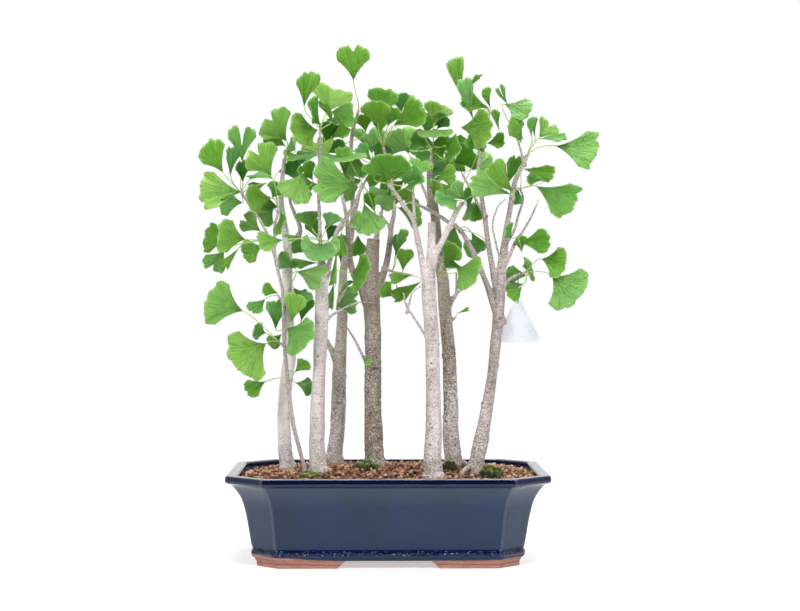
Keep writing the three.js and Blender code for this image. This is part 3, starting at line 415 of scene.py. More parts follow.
bm = bmesh.new()
thin = bm.verts.layers.float.new("thin_glaze_and_sheen")
bare = bm.verts.layers.float.new("bare_clay")
column = bm.verts.layers.int.new("column")
outer = smooth_path(POT_OUTSIDE, 4)
rings = outer + smooth_path(POT_INSIDE, 3)
columns = 8 * (ARC_STEPS + 1 + PANEL_COLUMNS)
ring = bmesh.ops.create_circle(bm, cap_ends=True, segments=columns, radius=1.0)["verts"]
for number, vert in enumerate(ring):
    vert[column] = number
edges = list(bm.edges)
for step, (length, height) in enumerate(rings):
    if step:
        ring, edges = next_ring(bm, edges)
    off_edge = abs(length - LIP_MIDDLE) - LIP_EDGE
    # The crest along the lip's top edges and the fainter ridge on the round corners are partly thin glaze
    # and partly a painted highlight.
    crest = 0.9 * math.exp(-((height - LIP_TOP) / 0.9) ** 2 - (off_edge / 1.3) ** 2)
    for vert in ring:
        x, y = ring_point(length, vert[column])
        vert.co = in_row(x, y, height)
        at_corner = vert[column] % (ARC_STEPS + 1 + PANEL_COLUMNS)
        round_corner = at_corner in (1, 2, 3)
        ridge = 0.12 if round_corner and height > LOW_BAND_TOP and step < len(outer) else 0.0
        vert[thin] = max(ridge, crest)
        wiped = glaze_line(x, y) - height
        vert[bare] = ease(0.5 + wiped / 0.9) if step < len(outer) else 0.0
bmesh.ops.contextual_create(bm, geom=edges)
bmesh.ops.recalc_face_normals(bm, faces=bm.faces)
bm.normal_update()
for vert in bm.verts:
    push = noise.noise(vert.co * 32.0) + 0.4 * noise.noise(vert.co * 90.0) - 2.0
    vert.co += vert.normal * push * GLAZE_SWELL * MM * (0.3 + 0.7 * (vert.co.z < 0.1))
smoothed(bm)
pot = piece_from(bm, "pot_body", glaze)

bm = bmesh.new()
for side in (-1, 1):
    bmesh.ops.create_cone(bm, cap_ends=True, segments=40, radius1=DRAIN_RADIUS * MM,
                          radius2=DRAIN_RADIUS * MM, depth=30 * MM,
                          matrix=Matrix.Translation(in_row(side * DRAIN_X, 0, 14)))
drill = piece_from(bm, "drain_drill")
cut = pot.modifiers.new("drain_holes", "BOOLEAN")
cut.operation = "DIFFERENCE"
cut.solver = "EXACT"
cut.object = drill
applied(pot)
bpy.data.objects.remove(drill)
hung_on_root(pot, "glazed_pot", "pot")

# ------------------------------------------------------------------ pot feet
# Four low feet follow the cut corners under the body. The kiln shelf would stick to glaze,
# so they are wiped bare: reddish clay with the tool's grooves left along them.

FOOT_OUTSIDE = (161.0, 163.5)  # half length on the table and against the body
FOOT_INSIDE = 139.0
FOOT_HEIGHT = 9.6
FOOT_GAP_LONG = (62.0, 52.0)  # half gap between two feet along the front: table, body
FOOT_GAP_SHORT = (36.0, 28.0)
TOOL_LINE = 5.0  # height of the groove that the tool left round each foot
FOOT_FACET = 3.2  # no edge of a foot is longer, so that its grooves can be cut in
FOOT_ROUND = 1.3
ROUGH_BELOW = 9.0  # the round edges and the grooves stay below this height


def plus(first, second):
    return maths("ADD", first, second)


def whole(bm):
    """Every corner, edge and face of the bmesh."""
    return bm.verts[:] + bm.edges[:] + bm.faces[:]


clay, tree, shader = finish_of("bare_red_clay", Roughness=0.78, Specular_IOR_Level=0.3)
shade, grooves, grit = raw_clay(tree)
height = part_of(place_of(tree), "Z")
wander = times(cloud(place_of(tree), 30.0, 3.0), 0.3)
# The band round the tool groove is painted darker, as the shade in the groove.
line = plus(times(height, 100.0), wander)
line = ramp(line, [(TOOL_LINE / 10 + past, dark)
                   for past, dark in ((0.02, 0.0), (0.15, 0.75), (0.25, 0.0))])
dress(shader, Base_Color=blend(line, shade, CLAY_DARK),
      Normal=bump(grit, 0.00025, bump(grooves, 0.0016)))

bm = bmesh.new()
for level, height in ((0, 0.0), (1, FOOT_HEIGHT)):
    out_length, in_length = FOOT_OUTSIDE[level], FOOT_INSIDE
    long_gap, short_gap = FOOT_GAP_LONG[level], FOOT_GAP_SHORT[level]
    wall = [pot_corner(out_length, 1), pot_corner(out_length, 0)]
    back = [pot_corner(in_length, 0), pot_corner(in_length, 1)]
    outline = [(long_gap, wall[0][1]), wall[0], wall[1], (wall[1][0], short_gap),
               (back[0][0], short_gap), back[0], back[1], (long_gap, back[1][1])]
    if level == 0:
        corners = [bm.verts.new((x * MM, y * MM, 0.0)) for x, y in outline]
        sole = bm.faces.new(corners)
        crown = bmesh.ops.extrude_face_region(bm, geom=[sole])["geom"]
        crown = [item for item in crown if isinstance(item, bmesh.types.BMVert)]
    else:
        for (x, y), low in zip(outline, corners):
            high = min(crown, key=lambda vert: (vert.co - low.co).length)
            high.co = (x * MM, y * MM, height * MM)
            crown.remove(high)
bmesh.ops.recalc_face_normals(bm, faces=bm.faces)
bmesh.ops.bevel(bm, geom=[edge for edge in bm.edges
                          if any(vert.co.z < ROUGH_BELOW * MM for vert in edge.verts)],
                offset=FOOT_ROUND * MM, segments=3, profile=0.5, affect="EDGES", material=-1)
bmesh.ops.triangulate(bm, faces=[face for face in bm.faces if len(face.verts) > 4])
for _ in range(4):
    long_edges = [edge for edge in bm.edges if edge.calc_length() > FOOT_FACET * MM]
    bmesh.ops.subdivide_edges(bm, edges=long_edges, cuts=1)
    bmesh.ops.triangulate(bm, faces=[face for face in bm.faces if len(face.verts) > 4])
for axis in ("X", "Y"):
    bmesh.ops.mirror(bm, geom=whole(bm), axis=axis, merge_dist=0.0)
bmesh.ops.translate(bm, verts=bm.verts, vec=(-FOREST_MIDDLE_X * MM, 0, 0))
bmesh.ops.recalc_face_normals(bm, faces=bm.faces)
bm.normal_update()
for vert in bm.verts:
    if 0.6 * MM < vert.co.z < ROUGH_BELOW * MM:
        rough = noise.noise(Vector((vert.co.x * 40, vert.co.y * 40, vert.co.z * 420)))
        groove = math.exp(-((vert.co.z / MM - TOOL_LINE) / 1.1) ** 2)
        inward = 0.35 * MM * (rough - 0.6) - 0.9 * MM * groove
        vert.co += Vector((vert.normal.x, vert.normal.y, 0)) * inward
smoothed(bm)
feet = piece_from(bm, "pot_feet", clay)
hung_on_root(feet, "glazed_pot", "pot")

# ------------------------------------------------------------------ drain screens
# Two squares of black plastic mesh, each moulded in one piece. They lie over the drain holes
# under the soil, which holds them down, and they keep the grains in the pot.

SCREEN_BLACK = (0.012, 0.012, 0.013)
SCREEN_DUSTY = (0.05, 0.042, 0.036)

black_mesh, tree, shader = finish_of("black_screen_plastic", Roughness=0.5)
dust = cloud(place_of(tree), 160.0, 4.0)
dress(shader, Base_Color=ramp(dust, [(0.4, SCREEN_BLACK), (0.75, SCREEN_DUSTY)]),
      Roughness=ramp(dust, [(0.3, 0.35), (0.7, 0.75)]),
      Normal=bump(cloud(place_of(tree), 1500.0), 0.0001))
for name in ("drain_screen_left", "drain_screen_right"):
    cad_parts[name].material_slots[0].material = black_mesh

# ------------------------------------------------------------------ soil
# The pot is filled with baked clay grains, reddish brown and 5 to 7 mm across, mounded a
# little towards the stems. A bed painted dark, as the shade in the gaps, lies under two
# loose layers of separate grains, and the lower grains are painted darker as shade.

SOIL_EDGE = 103.5
SOIL_CROWN = 12.0
INSIDE_LENGTH = 184.6  # half length of the pot's inside just below the lip
BED_SINK = 4.2  # the bed lies this far below the tops of the grains
BED_HALF_LENGTH = 183.0
BED_HALF_WIDTH = 127.5
BED_CORNER_Y = 91.0  # the cut corners of the bed start here on its short sides
BED_BELOW = ((166.0, 74.0), (150.0, 21.0))  # half length and height of its rings further down
BACK_SETTLE = 3.4
GRAIN_PITCH = 5.3
ROW_SHARE = 0.86  # rows of grains lie closer than the grains of one row
GRAIN_HALF = (1.7, 3.4)  # half size of the smallest and of the largest grain
GRAIN_FIELD = (186, 130)  # half length and half width of the rows
LOOSE_FIELD = (184, 129)
LOOSE_GRAINS = 1900
GRAIN_KINDS = 8
SOIL_DARK = (0.055, 0.025, 0.014)
SOIL_SHADE_PALER = (0.14, 0.06, 0.03)
GRAIN_COLOURS = [(0.0, (0.035, 0.018, 0.012)), (0.25, (0.115, 0.052, 0.032)),
                 (0.5, (0.235, 0.115, 0.068)), (0.75, (0.37, 0.2, 0.12)),
                 (1.0, (0.56, 0.36, 0.235))]


def ground(x, y):
    """Height of the soil at this place, before its grains."""
    long_fall = max(1 - (x / 185) ** 4, 0)
    short_fall = max(1 - ((y - 25) / 125) ** 2, 0)
    return SOIL_EDGE + SOIL_CROWN * long_fall * short_fall


def grain_level(x, y):
    """The grains lie level with the ground in front and settle below it towards the back."""
    return ground(x, y) - BACK_SETTLE * ease((y + 20) / 80)


def inside_pot(x, y, length, margin):
    """True where a point lies inside the pot's ring of this half length."""
    width = POT_HALF_WIDTH - (POT_HALF_LENGTH - length) * WIDTH_TAPER - margin
    cut = POT_CHAMFER - (POT_HALF_LENGTH - length) * CHAMFER_TAPER
    length -= margin
    return abs(x) < length and abs(y) < width and abs(x) + abs(y) < length + width - cut


baked_clay, tree, shader = finish_of("baked_clay_grains", Roughness=0.88, Specular_IOR_Level=0.25)
place = place_of(tree)
own = layer(tree, "grain_tone_and_shade")
crumb = cloud(place, 700.0, 4.0, 0.65)
tone = plus(plus(times(own, 0.85), times(crumb, 0.5)), -0.17)
dress(shader, Base_Color=ramp(tone, GRAIN_COLOURS), Normal=bump(crumb, 0.0007))

# The bed is painted dark all over: painted shade in the gaps between the grains.
shaded_bed, tree, shader = finish_of("soil_bed", Roughness=0.95, Specular_IOR_Level=0.2)
fines = cloud(place_of(tree), 420.0, 4.0, 0.7)
dress(shader, Base_Color=ramp(fines, [(0.3, SOIL_DARK), (0.8, SOIL_SHADE_PALER)]),
      Normal=bump(fines, 0.001))

bm = bmesh.new()
bmesh.ops.create_grid(bm, x_segments=46, y_segments=32, size=1.0)
for vert in bm.verts:
    x, y = vert.co.x * BED_HALF_LENGTH, vert.co.y * BED_HALF_WIDTH
    vert.co = (x * MM, y * MM, (grain_level(x, y) - BED_SINK) * MM)
for side_x in (-1, 1):
    for side_y in (-1, 1):
        corner = Vector((side_x * BED_HALF_LENGTH, side_y * BED_CORNER_Y, 0)) * MM
        bmesh.ops.bisect_plane(bm, geom=whole(bm), plane_co=corner, plane_no=(side_x, side_y, 0),
                               clear_outer=True)
floor_rim = [edge for edge in bm.edges if edge.is_boundary]
for length, height in BED_BELOW:
    ring, floor_rim = next_ring(bm, floor_rim)
    reach = max(abs(vert.co.x) for vert in ring) / MM
    for vert in ring:
        vert.co = (vert.co.x * length / reach, vert.co.y * length / reach, height * MM)
bmesh.ops.contextual_create(bm, geom=floor_rim)
bmesh.ops.translate(bm, verts=bm.verts, vec=(-FOREST_MIDDLE_X * MM, 0, 0))
bmesh.ops.recalc_face_normals(bm, faces=bm.faces)
bed = piece_from(bm, "soil_bed", shaded_bed)
hung_on_root(bed, "soil", "soil")

def poured_in(bm, mesh):
    """Adds a mesh to the bmesh and does away with the mesh."""
    bm.from_mesh(mesh)
    bpy.data.meshes.remove(mesh)


dice = random.Random(41)
kinds = []
for kind in range(GRAIN_KINDS):
    bm = bmesh.new()
    bmesh.ops.create_icosphere(bm, subdivisions=1, radius=1.0)
    for vert in bm.verts:
        vert.co *= 1 + 0.6 * (dice.random() - 0.5)
    bmesh.ops.recalc_face_normals(bm, faces=bm.faces)
    smoothed(bm)
    kinds.append(mesh_from(bm, f"grain_kind_{kind}"))

spots = []
half_long, half_wide = GRAIN_FIELD
for row in range(int(2 * half_wide / (GRAIN_PITCH * ROW_SHARE))):
    for step in range(int(2 * half_long / GRAIN_PITCH)):
        x = -half_long + GRAIN_PITCH * (step + 0.5 * (row % 2)) + dice.uniform(-1.5, 1.5)
        y = -half_wide + GRAIN_PITCH * ROW_SHARE * row + dice.uniform(-1.5, 1.5)
        spots.append((x, y, dice.uniform(-3.8, -1.6)))
half_long, half_wide = LOOSE_FIELD
for _ in range(LOOSE_GRAINS):
    spots.append((dice.uniform(-half_long, half_long), dice.uniform(-half_wide, half_wide),
                  dice.uniform(-0.9, 1.0)))

bm = bmesh.new()
tone = bm.verts.layers.float.new("grain_tone_and_shade")
for x, y, above in spots:
    half = dice.uniform(*GRAIN_HALF)
    if not inside_pot(x, y, INSIDE_LENGTH, half):
        continue
    size = Matrix.Diagonal((half, half * dice.uniform(0.75, 1.0),
                            half * dice.uniform(0.65, 0.95), 1.0))
    turn = Euler([dice.uniform(0, 6.28) for _ in range(3)]).to_matrix().to_4x4()
    middle = in_row(x, y, grain_level(x, y) + above)
    kind = kinds[dice.randrange(GRAIN_KINDS)].copy()
    kind.transform(Matrix.Translation(middle) @ Matrix.Scale(MM, 4) @ turn @ size)
    before = len(bm.verts)
    poured_in(bm, kind)
    bm.verts.ensure_lookup_table()
    # Each grain has a tone of its own, and the lower it lies the darker it is painted, as shade.
    shade = min(1.0, max(0.0, dice.gauss(0.58, 0.3) + 0.09 * above))
    for number in range(before, len(bm.verts)):
        bm.verts[number][tone] = shade
for kind in kinds:
    bpy.data.meshes.remove(kind)
grains = piece_from(bm, "soil_grains", baked_clay)
hung_on_root(grains, "soil", "soil")

# ------------------------------------------------------------------ moss
# Three round cushions of short moss grow at the feet of the stems, with a flat young patch
# in front of the third stem. Each is a dense mat of upright shoots on a domed base.

# Middle x and y, half length, half width, height over the soil, number of shoots, lightness.
MOSS = {
    "moss_middle": (-27, -24, 18, 17, 12, 3000, 1.3),
    "moss_right": (77, -32, 10, 10, 14, 1500, 0.9),
    "moss_far_right": (128, -56, 14, 18, 14, 2900, 1.6),
}
YOUNG_MOSS = (-95, -66, 17, 13, 4.6, 1900, 2.3)
MOSS_CLUMPS = 9
SHOOT = (0.55, 3.0)  # half width and height of one shoot
MOSS_DARK = (0.012, 0.024, 0.005)
MOSS_GREEN = (0.095, 0.15, 0.012)
MOSS_BRIGHT = (0.42, 0.5, 0.035)
MOSS_LUMPS = (0.2, 0.5)  # how fine the lumps are, and how high as a share of the cushion
SHADED = 0.05  # how light the base is, and the foot of each shoot
SHOOT_ROOM = 2.0  # the base stays this far under the cushion's height, for its shoots

moss, tree, shader = finish_of("green_moss", Roughness=0.9, Specular_IOR_Level=0.2, Sheen_Weight=0.2,
                               Sheen_Roughness=0.6)
# Shoot tips are light; their feet, the base and the hollows between lumps carry painted shade, the dome
# tops painted light.
tip_and_shade = layer(tree, "shoot_tip_and_shade")
patch = cloud(place_of(tree), 260.0, 3.0, 0.7)
tone = plus(plus(times(tip_and_shade, 0.72), times(patch, 0.7)), -0.14)
dress(shader, Base_Color=ramp(tone, [(0.25, MOSS_DARK), (0.55, MOSS_GREEN), (1.0, MOSS_BRIGHT)]),
      Normal=bump(cloud(place_of(tree), 1800.0), 0.0003))


def moss_clumps(throw, x, y, half_x, half_y, rise):
    """The small domes that one cushion has grown together from: middle, half width, height."""
    clumps = [(x, y, 0.62, rise)]
    for number in range(MOSS_CLUMPS):
        turn = 6.28 * number / MOSS_CLUMPS + throw.uniform(-0.3, 0.3)
        far, wide = throw.uniform(0.45, 0.66), throw.uniform(0.28, 0.4)
        clumps.append((x + half_x * far * math.cos(turn), y + half_y * far * math.sin(turn), wide,
                       rise * throw.uniform(0.5, 0.86)))
    return clumps


def moss_lump(x, y):
    """How high the cushion stands at this place, as a share of a smooth one."""
    fine, high = MOSS_LUMPS
    return 1 - high * 0.4 + high * noise.noise(Vector((x, y, 0)) * fine)


def moss_cushion(name, x, y, half_x, half_y, rise, shoots, lightness):
    """Domes grown into one another, with shoots standing square to them all over."""
    throw = random.Random(name)
    clumps = moss_clumps(throw, x, y, half_x, half_y, rise)
    bm = bmesh.new()
    tip = bm.verts.layers.float.new("shoot_tip_and_shade")
    for mid_x, mid_y, wide, top in clumps:
        dome = bmesh.ops.create_icosphere(bm, subdivisions=3, radius=1.0)["verts"]
        for vert in dome:
            px, py = mid_x + vert.co.x * half_x * wide, mid_y + vert.co.y * half_y * wide
            lump = moss_lump(px, py)
            high = max(vert.co.z, -0.25) * (top - SHOOT_ROOM) * lump
            vert.co = in_row(px, py, ground(px, py) - 1.0 + high)
            vert[tip] = SHADED
    share = sum(wide * wide for _, _, wide, _ in clumps)
    for mid_x, mid_y, wide, top in clumps:
        for _ in range(int(shoots * wide * wide / share)):
            turn, far = throw.uniform(0, 6.28), math.sqrt(throw.random()) * 0.98
            px = mid_x + half_x * wide * far * math.cos(turn)
            py = mid_y + half_y * wide * far * math.sin(turn)
            dome = math.sqrt(1 - far * far)
            lump = moss_lump(px, py)
            foot = in_row(px, py, ground(px, py) - 1.6 + dome * (top - SHOOT_ROOM) * lump)
            lean_x = math.cos(turn) * far * 0.9 + throw.uniform(-0.3, 0.3)
            lean_y = math.sin(turn) * far * 0.9 + throw.uniform(-0.3, 0.3)
            lean = Vector((lean_x, lean_y, dome + 0.25)).normalized()
            thick, tall = SHOOT[0] * throw.uniform(0.7, 1.3), SHOOT[1] * throw.uniform(0.6, 1.25)
            stand = lean.to_track_quat("Z", "Y").to_matrix().to_4x4()
            middle = Matrix.Translation(foot + lean * tall * 0.5 * MM)
            shape = bmesh.ops.create_cone(bm, cap_ends=True, segments=3, radius1=thick * MM,
                                          radius2=thick * 0.25 * MM, depth=tall * MM,
                                          matrix=middle @ stand)
            # Tips are painted lighter towards the top of the dome and on the lumps, and darker in the
            # hollows between them: painted light and shade.
            bright = throw.uniform(0.3, 1.0) * lightness * (0.3 + 0.7 * dome)
            bright *= max(0.2, 3.2 * lump - 2.2)
            for vert in shape["verts"]:
                at_tip = (vert.co - foot).dot(lean) > tall * 0.5 * MM
                vert[tip] = bright if at_tip else SHADED
    for face in bm.faces:
        face.smooth = face.calc_area() > 1e-7
    bmesh.ops.recalc_face_normals(bm, faces=bm.faces)
    return piece_from(bm, name, moss)


for name, measures in MOSS.items():
    hung_on_root(moss_cushion(name + "_cushion", *measures), "moss", name)
hung_on_root(moss_cushion("moss_young_patch", *YOUNG_MOSS), "moss")
# ------------------------------------------------------------------ stems
# Seven grown stems and one sapling stand close together. Their limbs are joined on with a
# collar, the old cuts have healed to knots, and the feet spread where they meet the soil.

# Points (x, y, height, radius), measured from the pot's middle, from the ground upwards.
TREES = [
  {
    "stem": [[-127, -6, 113, 10.2], [-131, -6, 140, 8.9], [-132, -6, 189, 7.9], [-127, -6, 238, 8.3],
      [-124, -6, 260, 7.6], [-127, -6, 313, 7], [-128, -5, 364, 6.7], [-127, -5, 389, 5.7],
      [-133, -4, 427, 4.5], [-136, -2, 459, 3.5], [-132, 0, 502, 2.5]],
    "limbs": {
      "fork": [[-127, -5, 386, 3.5], [-111, -8, 413, 2.9], [-122, -10, 444, 2.3], [-124, -11, 453, 1.9]],
      "front": [[-126, -7, 333, 3], [-124, -17, 340, 1.9]],
    },
  },
  {
    "stem": [[-104, -35, 112, 2.9], [-112, -35, 143, 2.6], [-120, -35, 176, 2.8], [-127, -35, 239, 2.5],
      [-130, -35, 271, 2.5], [-131, -35, 303, 2.3], [-132, -35, 335, 2.2], [-136, -35, 355, 2.1],
      [-141, -35, 376, 2], [-142, -35, 393, 1.9], [-142, -36, 418, 1.8], [-139, -36, 430, 1.6]],
    "limbs": {
      "left": [[-141, -35, 379, 1.9], [-150, -37, 406, 1.8], [-167, -38, 437, 1.6], [-178, -40, 452, 1.6],
        [-181, -41, 456, 1.5]],
      "mid": [[-142, -35, 396, 1.8], [-147, -42, 399, 1.5]],
      "low": [[-130, -35, 267, 2], [-134, -40, 271, 1.5]],
      "facing": [[-130, -35, 282, 2], [-128, -41, 287, 1.5]],
      "lowest": [[-126, -35, 220, 2], [-122, -40, 225, 1.5]],
      "upper": [[-132, -35, 323, 1.9], [-136, -39, 329, 1.5]],
    },
  },
  {
    "stem": [[-87, -39, 113, 11.6], [-89, -39, 143, 10], [-88, -39, 191, 9.2], [-86, -39, 239, 8],
      [-85, -39, 262, 8.8], [-83, -39, 303, 8.6], [-83, -39, 351, 7.5], [-83, -39, 373, 5],
      [-84, -39, 383, 2.8], [-86, -39, 437, 2.3], [-87, -39, 457, 2.1], [-86, -38, 501, 1.9],
      [-85, -37, 535, 1.8]],
    "limbs": {
      "right": [[-81, -39, 338, 3.8], [-73, -38, 373, 3.1], [-68, -36, 398, 3], [-63, -34, 414, 2.9],
        [-54, -31, 427, 2.8], [-41, -27, 447, 2.5], [-35, -23, 464, 2.1], [-33, -22, 468, 1.9]],
      "cup": [[-84, -39, 390, 2], [-84, -46, 397, 1.5]],
      "side": [[-80, -41, 351, 2.6], [-71, -47, 360, 1.6]],
      "fold": [[-60, -34, 415, 2.1], [-56, -40, 418, 1.5]],
      "bare": [[-79, -42, 299, 2.3], [-71, -45, 306, 1.9], [-52, -50, 317, 1.6], [-34, -53, 323, 1.2],
        [-19, -55, 322, 1]],
    },
  },
  {
    "stem": [[-70, 62, 120, 10.9], [-66, 62, 151, 9.8], [-64, 62, 185, 9.8], [-63, 61, 235, 9.2],
      [-61, 60, 268, 7.9], [-59, 59, 302, 7.2], [-58, 57, 345, 6.2], [-57, 56, 367, 5.2],
      [-47, 53, 409, 3.9], [-45, 49, 456, 3.3], [-47, 45, 508, 2.9], [-46, 42, 540, 2.6],
      [-38, 40, 570, 1.9]],
    "limbs": {
      "stub": [[-65, 61, 242, 4.6], [-72, 60, 258, 4.3], [-79, 59, 270, 3.9]],
      "inner": [[-47, 46, 499, 2.3], [-54, 33, 515, 1.9], [-58, 22, 522, 1.7]],
      "low": [[-59, 58, 299, 3.3], [-63, 40, 310, 2.2], [-65, 24, 314, 1.7]],
      "back": [[-45, 51, 431, 2.6], [-36, 64, 467, 2], [-21, 78, 496, 1.7]],
    },
  },
  {
    "stem": [[-17, 3, 118, 12.8], [-18, 3, 156, 12.1], [-19, 3, 188, 10.9], [-19, 3, 238, 10.9],
      [-19, 3, 286, 10.6], [-21, 3, 331, 10.9], [-20, 3, 380, 8.9], [-18, 3, 404, 8.3]],
    "limbs": {
      "left": [[-24, 3, 318, 5.7], [-33, 3, 338, 4.8], [-46, 4, 366, 4.5], [-50, 6, 394, 3.8],
        [-52, 14, 428, 2.8], [-59, 28, 461, 2.2], [-67, 38, 485, 1.8]],
      "right": [[-15, 3, 336, 5.7], [-7, 2, 355, 4.8], [0, 2, 380, 4.1], [5, 1, 421, 3.2],
        [8, 0, 438, 2.9], [6, 0, 472, 2.5], [-1, 0, 504, 2.2], [-5, 0, 517, 1.9]],
      "twig": [[4, 1, 413, 2.2], [1, 1, 421, 1.9], [-9, 0, 435, 1.5]],
      "shade": [[-4, 2, 365, 2.8], [3, -6, 363, 1.7]],
      "lower": [[-26, 1, 244, 2.4], [-33, -5, 257, 2], [-42, -8, 275, 1.8], [-59, -10, 303, 1]],
      "tiny": [[-23, -2, 241, 2.4], [-28, -11, 251, 1.3]],
      "top": [[-18, 5, 390, 3.8], [-11, 24, 421, 2.3], [-6, 38, 448, 1.7]],
    },
  },
  {
    "stem": [[56, -74, 109, 12.9], [55, -74, 130, 11.4], [56, -74, 162, 10.2], [56, -74, 193, 9.4],
      [55, -74, 240, 8.9], [54, -74, 280, 9.1], [51, -74, 319, 9.1], [50, -74, 350, 8.5],
      [53, -74, 382, 5.5], [54, -74, 422, 4.9]],
    "limbs": {
      "left": [[48, -74, 343, 4.3], [41, -74, 378, 3.7], [35, -74, 407, 3.4], [30, -74, 426, 3.1],
        [19, -74, 442, 2.8], [10, -74, 456, 2.5], [2, -74, 466, 2.1]],
      "second": [[36, -74, 399, 2.6], [34, -72, 412, 2.3], [32, -71, 436, 2.2], [31, -70, 455, 1.9]],
      "right": [[53, -74, 363, 4.3], [59, -74, 382, 4], [76, -73, 417, 3.7], [84, -72, 434, 3.3],
        [90, -71, 443, 2.8]],
      "lower": [[52, -76, 268, 2.6], [45, -79, 283, 2], [29, -82, 308, 1.6], [22, -83, 319, 1.5],
        [19, -84, 332, 1.1]],
      "lowfork": [[24, -83, 315, 1.4], [29, -84, 334, 1.2], [38, -85, 341, 1]],
    },
  },
  {
    "stem": [[84, -13, 115, 12], [80, -13, 157, 10.5], [80, -13, 189, 9.5], [79, -13, 222, 9.3],
      [78, -13, 254, 8.5], [75, -13, 286, 8.5], [72, -13, 319, 8.1], [70, -13, 351, 7.6],
      [66, -13, 373, 7], [59, -13, 441, 5.7], [55, -14, 459, 5.1], [53, -17, 490, 3.8],
      [56, -20, 509, 2.3]],
    "limbs": {
      "front": [[69, -15, 347, 3.2], [64, -29, 353, 1.8]],
      "second": [[55, -14, 450, 3.2], [62, -20, 470, 2.3], [66, -25, 479, 1.8]],
      "right": [[74, -13, 306, 3.4], [80, -13, 321, 2.5], [87, -13, 335, 2.2], [87, -13, 357, 1.4]],
      "rightfork": [[86, -13, 332, 1.6], [102, -13, 345, 1.1]],
      "stub": [[76, -13, 294, 2.8], [84, -13, 302, 1.5]],
      "back": [[59, -12, 433, 3.2], [49, 10, 461, 2.2], [37, 34, 491, 1.7]],
    },
    "root": [[84, -14, 121, 5], [96, -19, 119, 3.8], [104, -24, 114, 3], [110, -28, 105, 2.4]],
  },
  {
    "stem": [[109, -48, 115, 10], [117, -48, 154, 9.4], [122, -48, 182, 7.9], [127, -48, 211, 6.9],
      [131, -48, 240, 6.4], [134, -48, 268, 6.9], [137, -48, 297, 6.9], [139, -48, 326, 7.2],
      [141, -48, 357, 6.7], [142, -48, 369, 5.9], [145, -48, 389, 5], [149, -48, 421, 3.7],
      [152, -48, 437, 3.5], [157, -48, 468, 3.2], [163, -48, 484, 3.1], [171, -49, 499, 2.5],
      [173, -50, 505, 2.1]],
    "limbs": {
      "left": [[139, -48, 333, 4.4], [133, -48, 349, 3.9], [130, -48, 368, 3.6], [125, -47, 397, 3.4],
        [121, -46, 429, 3.2], [118, -45, 448, 3], [114, -44, 477, 2.7], [113, -43, 493, 2.6],
        [116, -43, 507, 2.5], [122, -42, 525, 2], [126, -41, 547, 1.6], [127, -40, 559, 1.5]],
      "leftshoot": [[121, -42, 519, 2], [120, -49, 523, 1.5]],
      "long": [[138, -48, 307, 5], [124, -46, 344, 3.7], [110, -44, 378, 3.5], [95, -42, 407, 3.1],
        [89, -41, 415, 2.9], [78, -39, 422, 2.7], [66, -38, 430, 2.5], [52, -38, 438, 2.2],
        [35, -38, 446, 1.8], [24, -38, 448, 1.5]],
      "longshoot": [[90, -42, 412, 2.1], [89, -50, 414, 1.5]],
      "thin": [[142, -49, 371, 2.4], [138, -54, 382, 1.6], [133, -57, 401, 1.4], [130, -58, 420, 1.4],
        [136, -57, 441, 1.2], [144, -56, 449, 1.1]],
      "barea": [[145, -48, 370, 3.1], [153, -48, 384, 2.5], [160, -48, 400, 2.2], [168, -48, 411, 1.9],
        [179, -48, 430, 1.5], [187, -48, 448, 1.1]],
      "bareb": [[150, -46, 401, 2.2], [158, -40, 412, 1.9], [164, -36, 433, 1.8], [170, -34, 452, 1.6],
        [167, -33, 463, 1.4]],
      "spurh": [[160, -49, 398, 2], [161, -56, 403, 1.5]],
      "low": [[141, -47, 340, 3.4], [150, -44, 350, 2], [160, -41, 356, 1.8], [168, -39, 359, 1.6]],
      "spurb": [[156, -48, 463, 2.7], [162, -53, 464, 1.6]],
      "spurc": [[156, -48, 453, 2.4], [154, -56, 454, 1.6]],
      "spurf": [[170, -48, 497, 1.9], [166, -46, 513, 1.6], [164, -45, 520, 1.5]],
      "back": [[120, -45, 434, 2.6], [114, -20, 449, 2], [105, 4, 469, 1.8], [98, 22, 485, 1.7]],
    },
    "root": [[109, -49, 120, 4.6], [99, -57, 117, 3.6], [92, -63, 111, 2.8], [88, -66, 103, 2.4]],
  },
]
PALE_STEMS = (1, 2, 3, 6, 8)
CUT_STEMS = (5, 6)  # cut off at the top, where no tuft grows
SAPLING = 2
ROOT_DEPTH = 42.0
CUT_HEIGHT = 92.0  # the wood below this height is left off, deep in the soil
COLLAR = 1.35  # how much thicker a limb is inside the wood that bears it
VOXEL = 1.0
FINE_VOXEL = 0.7
SPUR_LENGTH = 3.4

# Relief of the bark in millimetres: low swellings, scales at the foot, rings higher up.
SWELLING = 0.5
SCALE_RELIEF = 0.75
SCALE_WIDTH = 3.4
RING_RELIEF = 0.2
SCALES_BELOW = {1: 190, 2: 120, 3: 175, 4: 300, 5: 330, 6: 195, 7: 330, 8: 215}
# How much lighter a stem's bark is than its kind. Stem 1 is painted lighter against the shade of the
# leaves over it.
LIGHTER = {1: 0.22, 4: 0.27, 6: -0.06, 7: -0.03, 8: -0.27}
# How much paler the foot of a pale and of a dark stem is.
PALE_FOOT = 0.55
DARK_FOOT = 0.2
# Weathered to pale wood: up to this height, and the clock of the paler side in degrees.
WEATHERED = {4: (205.0, -20.0), 5: (122.0, -30.0), 7: (212.0, -35.0)}
